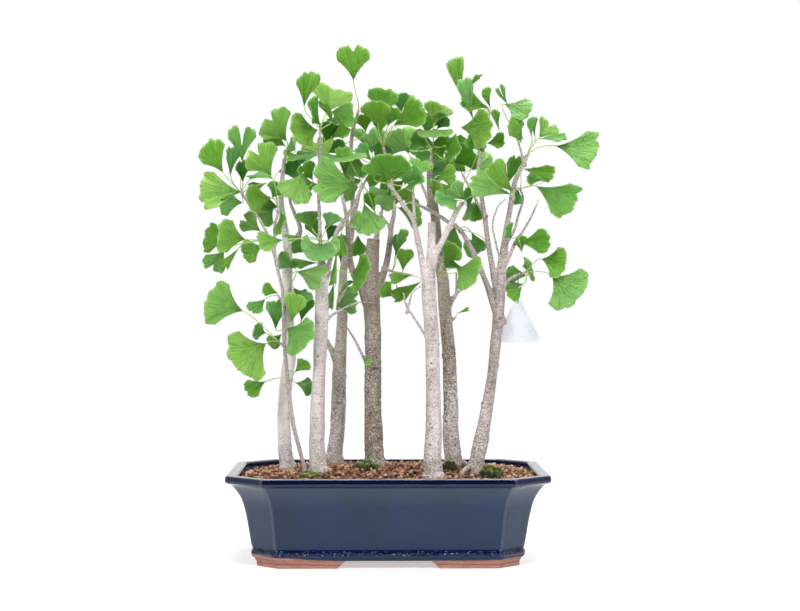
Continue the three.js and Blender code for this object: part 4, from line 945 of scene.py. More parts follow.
# Old cuts and buds that can be seen: stem, height, clock and half width.
KNOTS = {
    1: [(236, -60, 2.0), (168, -100, 1.4), (300, -40, 1.6)],
    2: [(178, -70, 1.6), (240, -100, 1.2), (300, -80, 1.1)],
    3: [(255, -110, 3.0), (196, -75, 2.4), (170, -110, 1.6), (150, -60, 1.8), (330, -80, 1.8)],
    4: [(190, -85, 4.4), (226, 0, 2.4), (272, -120, 2.0)],
    5: [(238, -75, 3.8), (262, -120, 1.7), (186, -20, 1.4), (150, -60, 2.2), (310, -50, 2.0)],
    6: [(239, -95, 2.6), (147, -120, 2.6), (271, -20, 2.0), (318, -70, 1.4)],
    7: [(255, -178, 2.8), (178, -172, 2.6), (166, -100, 2.2), (212, -60, 1.8), (150, -60, 1.9)],
    8: [(302, -75, 2.1), (243, -10, 2.2), (222, -110, 1.8), (196, -150, 2.8), (213, -95, 1.5),
        (254, -80, 1.5)],
}

PALE_BARK = [(0.0, (0.2, 0.16, 0.145)), (0.28, (0.405, 0.345, 0.325)), (0.48, (0.615, 0.545, 0.53)),
             (0.72, (0.775, 0.71, 0.705)), (1.0, (0.88, 0.845, 0.84))]
DARK_BARK = [(0.0, (0.07, 0.052, 0.041)), (0.26, (0.175, 0.14, 0.112)), (0.5, (0.33, 0.28, 0.235)),
             (0.76, (0.5, 0.445, 0.39)), (1.0, (0.72, 0.67, 0.62))]
YOUNG_WOOD = [(0.1, (0.2, 0.15, 0.13)), (0.5, (0.47, 0.41, 0.385)), (0.9, (0.68, 0.61, 0.59))]
BARK_PIT = (0.045, 0.032, 0.026)
TONE_MEAN = 0.19
FOOT_GREEN = (0.3, 0.33, 0.13)
GREEN_BETWEEN = (0.142, 0.112)  # the heights, in metres, between which the green comes in
BARK_LAYERS = ("twig", "knot", "scaly", "weathered", "relief")
SCALE_FADE = 70.0  # the scales fade out over this height
SCALED_FROM = 6.0  # wood with a smaller half width has no scales
TWIG_HALF = 4.6  # wood starts to look young at this half width
TWIG_FADE = 2.4  # and looks young all over where it is thinner by this much
WEATHER_FADE = 45.0  # the weathered wood turns to bark over this height
FOOT_FADE = 9.0  # the lobes of the foot fade out over this height


def bark(name, colours, pit_share):
    """Bark with scales low down, fine cross lines higher up, pits, and green at the foot."""
    made, tree, shader = finish_of(name, Roughness=0.82, Specular_IOR_Level=0.25)
    place = place_of(tree)
    height = part_of(place, "Z")
    twig, knot, scaly, weathered, relief = [layer(tree, shown) for shown in BARK_LAYERS]

    broad = ramp(cloud(place_of(tree, (1.0, 1.0, 0.35)), 70.0, 4.0, 0.6, 0.3),
                 [(0.3, 0.0), (0.7, 1.0)])
    fine = ramp(cloud(place_of(tree, (1.0, 1.0, 1.7)), 430.0, 3.0, 0.6), [(0.3, 0.0), (0.7, 1.0)])
    lines = cloud(place_of(tree, (1.0, 1.0, 8.0)), 130.0, 3.0, 0.65, 0.4)
    grooves = cells(place_of(tree, (1.0, 1.0, 1.5)), 260.0, "DISTANCE_TO_EDGE")
    plates = ramp(grooves, [(0.0, 0.0), (0.2, 1.0)])
    # The cracks between the plates are painted darker, as the shade in them.
    carved = blend(scaly, ramp(lines, [(0.34, 0.32), (0.62, 0.76)]), plates)
    tone = plus(times(broad, 0.3), times(fine, 0.42))
    # The relief layer brings each stem's lightness and the painted shade of its scales and rings.
    tone = plus(plus(tone, times(carved, 0.24)), times(relief, 0.4))
    tone = plus(tone, -TONE_MEAN)
    flecks = cells(place_of(tree, (1.0, 1.0, 1.9)), 330.0)
    patchy = cloud(place, 110.0, 2.0)
    fleck = times(ramp(flecks, [(0.16, 1.0), (0.34, 0.0)]),
                  ramp(patchy, [(0.4, 0.0), (0.6, 0.26)]))
    tone = plus(tone, fleck)
    shade = ramp(tone, colours)
    shade = blend(weathered, shade, ramp(tone, PALE_BARK))
    shade = blend(twig, shade, ramp(fine, YOUNG_WOOD))
    pits = cells(place_of(tree, (1.0, 1.0, 2.2)), 230.0)
    sparse = cloud(place_of(tree, (1.3, 1.3, 1.3)), 90.0, 2.0)
    hole = times(ramp(pits, [(0.08, 0.85), (0.2, 0.0)]),
                  ramp(sparse, [(1.0 - pit_share, 0.0), (1.06 - pit_share, 1.0)]))
    shade = blend(hole, shade, BARK_PIT)
    buds = cells(place_of(tree, (1.0, 1.0, 0.8)), 120.0)
    bud = times(ramp(buds, [(0.1, 0.8), (0.17, 0.0)]), ramp(sparse, [(0.5, 0.0), (0.54, 1.0)]))
    shade = blend(bud, shade, BARK_PIT)
    shade = blend(times(knot, 0.78), shade, BARK_PIT)
    above, below = GREEN_BETWEEN
    foot = node(tree, "MapRange", None, {0: height, 1: above, 2: below}).outputs[0]
    algae = ramp(cloud(place, 75.0, 4.0), [(0.5, 0.0), (0.64, 0.65)])
    shade = blend(times(foot, algae), shade, FOOT_GREEN)
    grain = bump(fine, 0.0005, bump(carved, 0.0008))
    dress(shader, Base_Color=shade, Normal=bump(times(hole, -1.0), 0.0008, grain),
          Roughness=ramp(fine, [(0.0, 0.72), (1.0, 0.92)]))
    return made


pale_bark = bark("pale_ginkgo_bark", PALE_BARK, 0.46)
dark_bark = bark("dark_ginkgo_bark", DARK_BARK, 0.58)


def wood_curve(name, path):
    """One limb as a curve tube: points (x, y, height, radius) joined by soft bends."""
    shape = bpy.data.curves.new(name, "CURVE")
    shape.dimensions = "3D"
    shape.bevel_depth = MM
    shape.bevel_resolution = 4
    shape.use_fill_caps = True
    shape.resolution_u = 1
    line = shape.splines.new("POLY")
    soft = smooth_path(path, 5)
    line.points.add(len(soft) - 1)
    for point, (x, y, z, radius) in zip(line.points, soft):
        point.co = (*in_row(x, y, z), 1.0)
        point.radius = max(radius, 0.5)
    return bpy.data.objects.new(name, shape)


def rooted(path):
    """The stem with its spread foot and the part that stands in the soil."""
    x, y, z, radius = path[0]
    ahead = path[1]
    return [(x, y, z - ROOT_DEPTH, radius * 0.8), (x, y, z - 8, radius * 1.12),
            (x, y, z + 1, radius * 1.14),
            (x + (ahead[0] - x) * 0.25, y, z + (ahead[2] - z) * 0.25, (radius * 3 + ahead[3]) / 4),
            *path[1:]]


def spur_end(path):
    """The short woody spur that carries a tuft of leaves past the end of a limb."""
    tip, before = np.array(path[-1], float), np.array(path[-2], float)
    along = (tip - before)[:3] / np.linalg.norm((tip - before)[:3])
    knob = [(*(tip[:3] + along * far), tip[3] * wide) for far, wide in
            ((0.3, 1.0), (1.2, 1.3), (1.9, 1.02), (2.6, 1.2), (SPUR_LENGTH, 0.7))]
    return [*path, *knob]


def limb_tubes(grown, cut_off):
    """The tubes of one tree: its stem, and each limb with the collar that joins it on."""
    stem = rooted(grown["stem"])
    tubes = [stem if cut_off else spur_end(stem)]
    for path in grown["limbs"].values():
        first, after = path[0], path[1]
        root, ahead = np.array(first[:3], float), np.array(after[:3], float)
        back = root - 0.35 * (ahead - root)
        collar = [(*back, first[3] * COLLAR), (*first[:3], first[3] * COLLAR)]
        tubes.append(spur_end(path))
        tubes.append([*collar, after] if len(path) > 2 else collar)
    if "root" in grown:
        tubes.append(grown["root"])
    return tubes


def joined_wood(tubes, name, voxel, finish):
    """All tubes as one skin: made of small cells, and smoothed."""
    curves = [wood_curve(name, path) for path in tubes]
    for curve in curves:
        scene.collection.objects.link(curve)
    depsgraph = bpy.context.evaluated_depsgraph_get()
    bm = bmesh.new()
    for curve in curves:
        poured_in(bm, bpy.data.meshes.new_from_object(curve.evaluated_get(depsgraph)))
        bpy.data.objects.remove(curve)
    trunk = piece_from(bm, name, finish)
    join = trunk.modifiers.new("joined_wood", "REMESH")
    join.mode = "VOXEL"
    join.voxel_size = voxel * MM
    join.use_smooth_shade = True
    applied(trunk)
    return trunk


def around(turn, other):
    """How far a clock angle lies from another, as a share of the whole way round to its back."""
    return abs((math.degrees(turn) - other + 180) % 360 - 180) / 180


def finder(points):
    """Finds the point of the wood that lies nearest to a spot on its skin."""
    near = kdtree.KDTree(len(points))
    for place, point in enumerate(points):
        near.insert(in_row(*point[:3]), place)
    near.balance()
    return near


def scars_of(stem, knots):
    """Where each old cut lies on the bark, and its half width."""
    scars = []
    for height, clock, half in knots:
        at = min(stem, key=lambda point: abs(point[2] - height))
        turn = math.radians(clock)
        out = Vector((math.cos(turn), math.sin(turn), 0)) * at[3]
        scars.append((in_row(at[0] + out.x, at[1] + out.y, height), half * MM))
    return scars


for number, grown in enumerate(TREES, 1):
    pale = number in PALE_STEMS
    tubes = limb_tubes(grown, number in CUT_STEMS)
    trunk = joined_wood(tubes, f"trunk_{number}", FINE_VOXEL if number == SAPLING else VOXEL,
                        pale_bark if pale else dark_bark)

    # The skin is cut off below the soil, closed there and smoothed.
    bm = bmesh.new()
    bm.from_mesh(trunk.data)
    bmesh.ops.bisect_plane(bm, geom=whole(bm), plane_co=in_row(0, 0, CUT_HEIGHT),
                           plane_no=(0, 0, -1), clear_outer=True)
    bmesh.ops.holes_fill(bm, edges=[edge for edge in bm.edges if edge.is_boundary])
    for _ in range(2):
        bmesh.ops.smooth_vert(bm, verts=bm.verts, factor=0.5, use_axis_x=True, use_axis_y=True,
                              use_axis_z=True)
    bm.normal_update()
    layers = {name: bm.verts.layers.float.new(name) for name in BARK_LAYERS}

    points = [point for path in tubes for point in smooth_path(path, 8)]
    stem = smooth_path(grown["stem"], 12)
    near, core = finder(points), finder(stem)
    scars = scars_of(stem, KNOTS[number])

    # Each spot of the skin is pushed out or in, and keeps in layers what the bark shows there.
    scales_below = SCALES_BELOW[number]
    pale_below, pale_side = WEATHERED.get(number, (0.0, 0.0))
    lightness = 0.5 + 2.5 * LIGHTER.get(number, 0.0)
    ground_level = grown["stem"][0][2]
    for vert in bm.verts:
        here = vert.co.copy()
        middle, place, far = core.find(here)
        thick = stem[place][3]
        if far > thick * 1.3 * MM:
            middle, place, _ = near.find(here)
            thick = points[place][3]
        girth = min(1.3, thick / 10)
        height = here.z / MM
        turn = math.atan2(here.y - middle.y, here.x - middle.x)
        low = ease((scales_below - height) / SCALE_FADE) if thick > SCALED_FROM else 0.0
        spot = here * 1000
        swell = noise.noise(spot * 0.045) + 0.5 * noise.noise(spot * 0.11)
        gaps = noise.voronoi(Vector((spot.x, spot.y, spot.z * 1.5)) / SCALE_WIDTH)[0]
        scale = min(1.0, (gaps[1] - gaps[0]) / 0.45) - 0.6
        mottle = noise.noise(spot * 0.3)
        rings = noise.noise(Vector((spot.x * 0.03, spot.y * 0.03, spot.z * 0.5 + number * 9)))
        push = swell * SWELLING * girth
        push += (scale + 0.6 * mottle) * SCALE_RELIEF * low * min(1.0, girth)
        push += rings * RING_RELIEF * (1 - low) * (0.4 + girth)
        # The relief layer holds the stem's own lightness and paler foot, and paints the sunk parts of the
        # scales and rings darker as shade.
        vert[layers["relief"]] = (lightness + low * (PALE_FOOT if pale else DARK_FOOT)
                                  + 0.8 * low * (scale + 0.6 * mottle) + 0.25 * (1 - low) * rings)
        for scar, size in scars:
            off = here - scar
            gap = Vector((off.x, off.y, off.z * 1.5)).length / size + 0.5 * mottle
            if gap < 3:
                rim = math.exp(-(gap - 1.25) ** 2 * 2.4)
                push += size / MM * (0.42 * rim - 0.3 * math.exp(-gap * gap * 3))
                vert[layers["knot"]] = max(vert[layers["knot"]], math.exp(-gap * gap * 2.8))
                # Each knot's rim is painted lighter below and darker above, as lit from above.
                vert[layers["relief"]] += 0.3 * rim * (1 if off.z < 0 else -0.8)
        foot = math.exp(-max(height - ground_level, 0) / FOOT_FADE)
        lobes = noise.noise(Vector((math.cos(turn) * 1.6, math.sin(turn) * 1.6, number)))
        push += foot * girth * 1.3 * lobes
        vert[layers["twig"]] = ease((TWIG_HALF - thick) / TWIG_FADE)
        vert[layers["scaly"]] = low
        weather = (pale_below - height) / WEATHER_FADE + 1.3 * (0.5 - around(turn, pale_side))
        weather += 0.9 * mottle
        vert[layers["weathered"]] = ease(weather) if pale_below else 0.0
        vert.co = here + vert.normal * push * MM
    smoothed(bm)
    bm.to_mesh(trunk.data)
    bm.free()
    hung_on_root(trunk, "pale_bark" if pale else "dark_bark", f"stem_{number}")

# ------------------------------------------------------------------ leaves
# Fan leaves grow in tufts of one to six from the spurs, each on its own stalk. A blade is
# half a millimetre thick, with forking veins, a wavy margin and often a notch in its middle.

# Tuft: stem number, limb, then a row for each leaf: foot x, y, height, clock, lean towards
# the viewer, turn of the face, length, spread and notch, in millimetres, degrees and percent.
TUFTS = {
  "leaves_1_top": [1, "stem", [
    [-128, -10, 527, 128, 30, 20, 48, 92, 30], [-131, 10, 523, 149, 39, 30, 42, 80, 20],
    [-116, -20, 515, 143, -54, 170, 32, 80, 20], [-104, 6, 505, 164, 45, 75, 34, 60, 20]]],
  "leaves_1_fork": [1, "fork", [
    [-106, -34, 485, 246, 30, 0, 46, 86, 15], [-95, -6, 478, 125, 15, 20, 26, 90, 20],
    [-146, -22, 454, 59, 25, 0, 25, 90, 20]]],
  "leaves_1_front": [1, "front", [
    [-114, -54, 361, 352, 38, 150, 44, 70, 14], [-117, -21, 366, 150, 8, 175, 27, 75, 12],
    [-119, -24, 338, 305, 20, 0, 22, 120, 20], [-118, -34, 341, 304, 48, -20, 34, 80, 20]]],
  "leaves_2_left": [2, "left", [
    [-205, -52, 484, 122, 20, 35, 46, 80, 12], [-183, -30, 499, 90, 20, 10, 50, 58, 72],
    [-182, -52, 460, 180, 16, 15, 56, 74, 12], [-197, -38, 481, 90, 13, 60, 40, 70, 20],
    [-172, -44, 476, 60, -58, 150, 38, 90, 20], [-181, -46, 447, 177, 24, -30, 32, 85, 12]]],
  "leaves_2_top": [2, "stem", [
    [-145, -52, 480, 122, 27, 10, 48, 86, 35], [-145, -48, 453, 186, 25, 10, 35, 88, 14],
    [-144, -28, 440, 225, -20, 170, 26, 85, 20], [-134, -38, 436, 276, 42, 60, 34, 80, 20]]],
  "leaves_2_mid": [2, "mid", [
    [-177, -52, 401, 171, 35, 0, 46, 78, 10], [-200, -38, 401, 173, -38, 10, 42, 80, 12],
    [-204, -44, 388, 229, -38, 160, 40, 66, 30], [-186, -46, 391, 233, 10, 60, 32, 62, 18],
    [-157, -30, 394, 200, 5, -20, 29, 95, 12], [-160, -30, 412, 144, -5, 170, 30, 80, 30]]],
  "leaves_2_upper": [2, "upper", [
    [-153, -46, 327, 222, 30, 30, 27, 74, 12], [-137, -42, 334, 162, 15, 20, 22, 64, 8]]],
  "leaves_2_low": [2, "low", [
    [-180, -56, 312, 162, 14, 0, 52, 90, 10], [-151, -62, 272, 213, 15, 0, 52, 112, 10],
    [-153, -36, 284, 163, 25, 0, 19, 105, 12], [-134, -32, 283, 228, 5, 150, 22, 90, 12]]],
  "leaves_2_facing": [2, "facing", [
    [-126, -52, 291, 326, 32, 0, 43, 108, 12], [-120, -64, 298, 78, 6, 0, 38, 62, 16],
    [-141, -34, 288, 89, -15, 0, 40, 54, 8]]],
  "leaves_2_lowest": [2, "lowest", [
    [-153, -42, 224, 208, 18, 20, 29, 76, 14], [-116, -38, 222, 344, -34, 160, 30, 66, 14],
    [-117, -40, 235, 44, 20, 10, 26, 64, 8]]],
  "leaves_3_cup": [3, "cup", [
    [-84, -56, 396, 270, 22, 0, 26, 256, 14], [-95, -34, 415, 112, -35, 10, 33, 86, 12],
    [-77, -34, 415, 66, -38, -10, 30, 70, 12], [-130, -66, 400, 188, 30, 25, 37, 66, 12],
    [-107, -24, 405, 180, 48, 70, 30, 60, 20], [-64, -74, 387, 270, 10, 60, 46, 40, 15]]],
  "leaves_3_top": [3, "stem", [
    [-87, -52, 537, 188, 32, 20, 40, 112, 14], [-105, -38, 568, 85, 18, 30, 46, 60, 12],
    [-77, -20, 562, 76, -36, 5, 48, 98, 10], [-84, -44, 543, 126, 45, 55, 42, 80, 20],
    [-71, -34, 549, 98, 38, -50, 34, 70, 20], [-73, -22, 563, 350, 34, 20, 44, 56, 12]]],
  "leaves_3_fold": [3, "fold", [
    [-58, -44, 411, 268, 5, 20, 32, 52, 20], [-48, -46, 423, 9, 50, -30, 24, 85, 20]]],
  "leaves_3_side": [3, "side", [[-45, -58, 359, 354, 51, -10, 36, 130, 15]]],
  "leaves_3_right": [3, "right", [
    [-39, -34, 471, 178, 18, 15, 61, 86, 22], [-37, -12, 469, 207, -10, 170, 24, 80, 20],
    [-30, -40, 447, 285, 18, 0, 46, 72, 12]]],
  "leaves_4_top": [4, "stem", [
    [-44, 30, 609, 91, 8, 0, 47, 80, 22], [-41, 28, 555, 169, 42, 130, 44, 85, 20]]],
  "leaves_4_inner": [4, "inner", [
    [-72, 6, 534, 24, 34, -20, 34, 65, 20], [-59, -8, 509, 270, 70, 0, 38, 190, 20],
    [-38, 20, 511, 262, -14, 170, 30, 95, 20], [-20, 14, 505, 141, 6, 30, 27, 80, 20],
    [-54, -8, 480, 96, -10, 30, 42, 50, 10]]],
  "leaves_4_low": [4, "low", [
    [-66, 16, 317, 28, 46, 150, 40, 80, 20], [-65, 26, 327, 68, 26, 60, 34, 45, 20],
    [-60, 24, 372, 92, 3, 30, 38, 46, 8]]],
  "leaves_5_right": [5, "right", [
    [0, -12, 546, 72, 29, 0, 32, 78, 20], [-16, -22, 544, 88, 28, 0, 40, 85, 16],
    [-12, 8, 559, 76, 27, 0, 46, 72, 14], [7, -28, 545, 28, 20, -15, 48, 70, 12],
    [22, 4, 568, 47, -47, 0, 36, 85, 20]]],
  "leaves_5_shade": [5, "shade", [
    [19, -14, 362, 86, 10, 20, 30, 66, 10], [30, -16, 357, 190, 20, 30, 30, 50, 8],
    [42, -20, 349, 212, 15, 30, 44, 42, 8], [9, -14, 380, 80, 10, 40, 38, 42, 5],
    [8, -24, 330, 146, 10, 20, 22, 90, 10]]],
  "leaves_5_tiny": [5, "tiny", [[-28, -14, 253, 304, 45, 0, 13, 80, 15]]],
  "leaves_6_left": [6, "left", [
    [0, -88, 471, 78, 28, 0, 42, 112, 18], [20, -80, 467, 72, 18, 0, 30, 100, 20],
    [-17, -80, 473, 99, 30, 0, 28, 78, 16], [0, -66, 461, 203, -54, 150, 32, 80, 20],
    [10, -56, 456, 212, -30, 150, 30, 80, 20]]],
  "leaves_6_second": [6, "second", [
    [20, -72, 464, 9, 49, -60, 34, 70, 20], [37, -58, 480, 72, -46, 0, 34, 80, 20]]],
  "leaves_6_right": [6, "right", [
    [96, -72, 449, 145, 15, 150, 28, 90, 16], [98, -58, 446, 300, -50, 150, 29, 84, 12],
    [86, -84, 448, 196, 45, 35, 38, 85, 20]]],
  "leaves_7_top": [7, "stem", [
    [70, -37, 503, 36, 48, -40, 42, 76, 20], [59, 0, 550, 75, -36, 0, 36, 96, 12],
    [29, 16, 518, 155, 5, 160, 36, 95, 20], [58, -34, 541, 274, 60, 0, 34, 120, 20],
    [73, -30, 519, 225, -28, 20, 21, 80, 16]]],
  "leaves_7_second": [7, "second", [
    [72, -18, 489, 34, -48, -20, 34, 85, 20], [60, -54, 478, 8, 14, -10, 27, 84, 20],
    [55, -46, 456, 54, 48, -10, 32, 80, 20], [87, 6, 517, 87, 40, 0, 30, 75, 20]]],
  "leaves_7_front": [7, "front", [
    [69, -44, 371, 52, 24, -10, 34, 76, 10], [85, -54, 365, 336, 44, -10, 41, 108, 14]]],
  "leaves_7_stub": [7, "stub", [[88, -12, 309, 18, 32, -60, 19, 50, 15]]],
  "leaves_8_long": [8, "longshoot", [
    [84, -26, 420, 264, 6, 150, 36, 84, 10], [122, -28, 398, 206, -5, 160, 28, 78, 8]]],
  "leaves_8_top": [8, "stem", [
    [208, -62, 517, 349, 18, -20, 57, 72, 12], [189, -46, 529, 47, -41, 0, 34, 80, 25],
    [185, -58, 526, 4, 18, -70, 38, 50, 20], [185, -36, 530, 105, 19, 40, 26, 38, 15],
    [179, -56, 528, 103, 20, 30, 27, 40, 8]]],
  "leaves_8_tip": [8, "spurf", [
    [167, -52, 522, 126, 20, 40, 36, 78, 10], [145, -44, 571, 338, 14, -25, 37, 80, 10],
    [158, -36, 553, 336, -50, 150, 34, 90, 20], [150, -40, 571, 126, 20, 30, 28, 48, 78]]],
  "leaves_8_left": [8, "left", [
    [95, -30, 577, 110, 12, 30, 57, 36, 10], [107, -44, 551, 112, 15, 35, 55, 40, 8],
    [102, -38, 589, 74, 31, 60, 26, 60, 15], [126, -40, 567, 167, 10, 20, 38, 68, 10],
    [129, -34, 567, 116, 20, 30, 28, 44, 8]]],
  "leaves_8_shoot": [8, "leftshoot", [
    [91, -64, 540, 352, 25, 10, 45, 96, 14], [120, -52, 509, 132, 25, 0, 37, 66, 10],
    [123, -50, 521, 6, 20, -20, 25, 76, 12], [141, -26, 539, 112, 4, 60, 29, 46, 10],
    [92, -40, 470, 212, 0, 20, 36, 74, 10]]],
  "leaves_8_right": [8, "spurb", [
    [183, -68, 467, 328, 16, -10, 59, 66, 10], [167, -60, 489, 345, 20, 0, 45, 38, 8],
    [194, -42, 475, 162, 34, 0, 30, 66, 10]]],
  "leaves_8_inner": [8, "spurc", [
    [156, -60, 460, 140, 15, 10, 50, 62, 10], [152, -74, 456, 164, 15, 0, 60, 44, 10]]],
  "leaves_8_middle": [8, "spurh", [
    [163, -58, 397, 3, 20, 0, 42, 62, 10], [154, -62, 402, 135, 44, 20, 27, 75, 20]]],
  "leaves_8_low": [8, "low", [
    [191, -52, 377, 344, 32, 0, 40, 84, 12], [203, -64, 356, 318, 22, 0, 50, 108, 10],
    [170, -24, 369, 349, -52, 150, 33, 90, 20], [178, -26, 357, 178, 0, 150, 31, 64, 8],
    [167, -56, 343, 228, 10, 30, 23, 70, 8], [172, -24, 346, 190, -4, 150, 25, 60, 8]]],
  "leaves_4_back": [4, "back", [
    [-20, 92, 520, 100, -35, 20, 48, 95, 25], [2, 88, 492, 10, -30, -30, 42, 90, 20],
    [-34, 96, 486, 210, -45, 30, 42, 90, 20]]],
  "leaves_5_back": [5, "left", [
    [-78, 54, 508, 120, -30, 20, 46, 90, 25], [-60, 58, 496, 40, -50, -20, 42, 95, 20],
    [-88, 48, 476, 190, -20, 40, 42, 85, 20]]],
  "leaves_5_top": [5, "top", [
    [-2, 44, 468, 84, 12, 10, 40, 80, 20], [14, 50, 446, 340, -35, -30, 42, 90, 20]]],
  "leaves_7_back": [7, "back", [
    [28, 50, 516, 110, -30, 20, 46, 95, 25], [54, 46, 500, 30, -40, -20, 42, 90, 20],
    [22, 50, 482, 220, -25, 20, 38, 85, 20]]],
  "leaves_8_back": [8, "back", [
    [88, 38, 508, 120, -35, 20, 44, 95, 25], [112, 36, 496, 20, -40, -20, 44, 90, 20]]],
}

# Half grown leaves inside the crown: the tuft they belong to, then rows as above.
INNER_LEAVES = {
    "leaves_2_left": [[-182, -30, 473, 95, 15, 40, 30, 66, 20], [-152, -40, 472, 200, 10, 40, 24, 70, 12]],
    "leaves_2_top": [[-140, 4, 489, 20, -20, 20, 34, 84, 20], [-137, -20, 443, 170, 15, 30, 26, 80, 12]],
    "leaves_2_facing": [[-110, -8, 298, 80, 5, 10, 34, 60, 12]],
    "leaves_3_cup": [[-89, -8, 373, 180, 10, 55, 34, 62, 12], [-89, -14, 403, 110, -15, 10, 26, 70, 12],
                     [-76, -20, 400, 70, -15, -10, 24, 66, 12], [-101, -30, 385, 150, 20, 20, 26, 70, 12]],
    "leaves_3_top": [[-83, 12, 527, 60, 20, 20, 34, 84, 20], [-84, 12, 514, 195, 10, 50, 36, 60, 20],
                     [-77, 16, 514, 30, 10, 30, 28, 84, 12]],
    "leaves_3_right": [[-16, 4, 437, 110, 10, 20, 30, 62, 12]],
    "leaves_3_side": [[-69, 0, 348, 265, 5, 50, 36, 50, 12]],
    "leaves_4_inner": [[-28, 24, 542, 100, 15, 20, 26, 84, 20], [-17, 24, 504, 60, 10, 20, 28, 84, 12],
                       [-22, 10, 464, 80, 10, 20, 26, 70, 12]],
    "leaves_4_low": [[-38, 24, 409, 270, 5, 20, 28, 84, 12]],
    "leaves_5_right": [[-10, 16, 538, 92, 10, 30, 26, 84, 12], [18, 12, 566, 100, 10, 20, 26, 84, 12]],
    "leaves_5_shade": [[11, 4, 382, 90, 10, 30, 30, 60, 12]],
    "leaves_6_left": [[29, -50, 473, 250, 10, 20, 28, 70, 12]],
    "leaves_6_right": [[104, -20, 440, 100, 5, 40, 30, 60, 12], [110, -30, 450, 280, 5, 30, 26, 60, 12]],
    "leaves_7_top": [[49, 20, 538, 80, 15, 20, 30, 84, 20], [63, 14, 545, 50, 20, -20, 24, 84, 20],
                     [64, 26, 525, 175, -15, 20, 38, 92, 20], [64, 20, 517, 205, 10, 20, 30, 84, 20],
                     [53, 12, 524, 15, 20, 20, 34, 60, 12]],
    "leaves_7_second": [[84, 4, 500, 30, 20, 10, 36, 95, 20], [78, -10, 492, 200, 10, 20, 26, 80, 12]],
    "leaves_7_front": [[97, -10, 366, 165, 5, 40, 30, 50, 12]],
    "leaves_8_long": [[106, -10, 412, 300, 5, 30, 30, 70, 12]],
    "leaves_8_inner": [[151, -20, 471, 75, 10, 30, 40, 56, 20], [162, -40, 468, 270, 5, 30, 24, 56, 12]],
    "leaves_8_middle": [[167, -50, 385, 100, 10, 30, 22, 70, 12]],
}
FREE_SHADE = 0.6  # how light a leaf is, from 0 to 1
# Leaves inside the crown start darker: painted shade.
INNER_SHADE = 0.3
SUNLIT_FROM = (570, 40)  # leaves get lighter from this height, over this far up
SHADED_FROM = (32, 30)  # and darker from this far behind the row, over this far back
LEAF_SEED = (977, 13)  # each leaf's dice start at its number times the first, plus the second
DICE_STEP = 16807
DICE_RANGE = 2147483647
BLADE_THICK = 0.42
BLADE_TRIM = 0.985  # the crimped margin stays this share of the plain leaf's length
BLADE_COLUMNS = 27
BLADE_ROWS = 8
BLADE_START = 0.02  # the blade begins this share of its length past its foot
NARROW_FOOT = 0.64  # the spread at the foot as a share of the spread at the margin
SHALLOW = 0.55  # a short notch is open only this far, its lips lie against each other
STALK_HALF = 0.55
STALK_SIDES = 6
STALK_RINGS = 8

LEAF_GREENS = [(0.0, (0.022, 0.095, 0.006)), (0.3, (0.1, 0.32, 0.026)), (0.6, (0.215, 0.5, 0.052)),
               (1.0, (0.38, 0.67, 0.14))]
UNDER_GREENS = [(0.0, (0.1, 0.26, 0.05)), (0.5, (0.2, 0.43, 0.1)), (1.0, (0.32, 0.56, 0.18))]
LEAF_MINT = (0.23, 0.57, 0.22)
LEAF_OLIVE = (0.17, 0.33, 0.018)
THROUGH_GREEN = (0.24, 0.6, 0.008)
MARGIN_PALE_AND_SHEEN = (0.5, 0.68, 0.28)
VEIN_PALE = (0.3, 0.56, 0.14)
STALK_GREEN = (0.36, 0.48, 0.14)
STALK_ROSY = (0.42, 0.27, 0.17)
STALK_TOP = (0.36, 0.56, 0.15)


def bands(vector, scale, distort, way="X", detail=1.0):
    """Soft stripes, from nought to one, that follow one another this way."""
    return node(vector.id_data, "TexWave", {"bands_direction": way},
                {"Vector": vector, "Scale": scale, "Distortion": distort, "Detail": detail}).outputs[0]


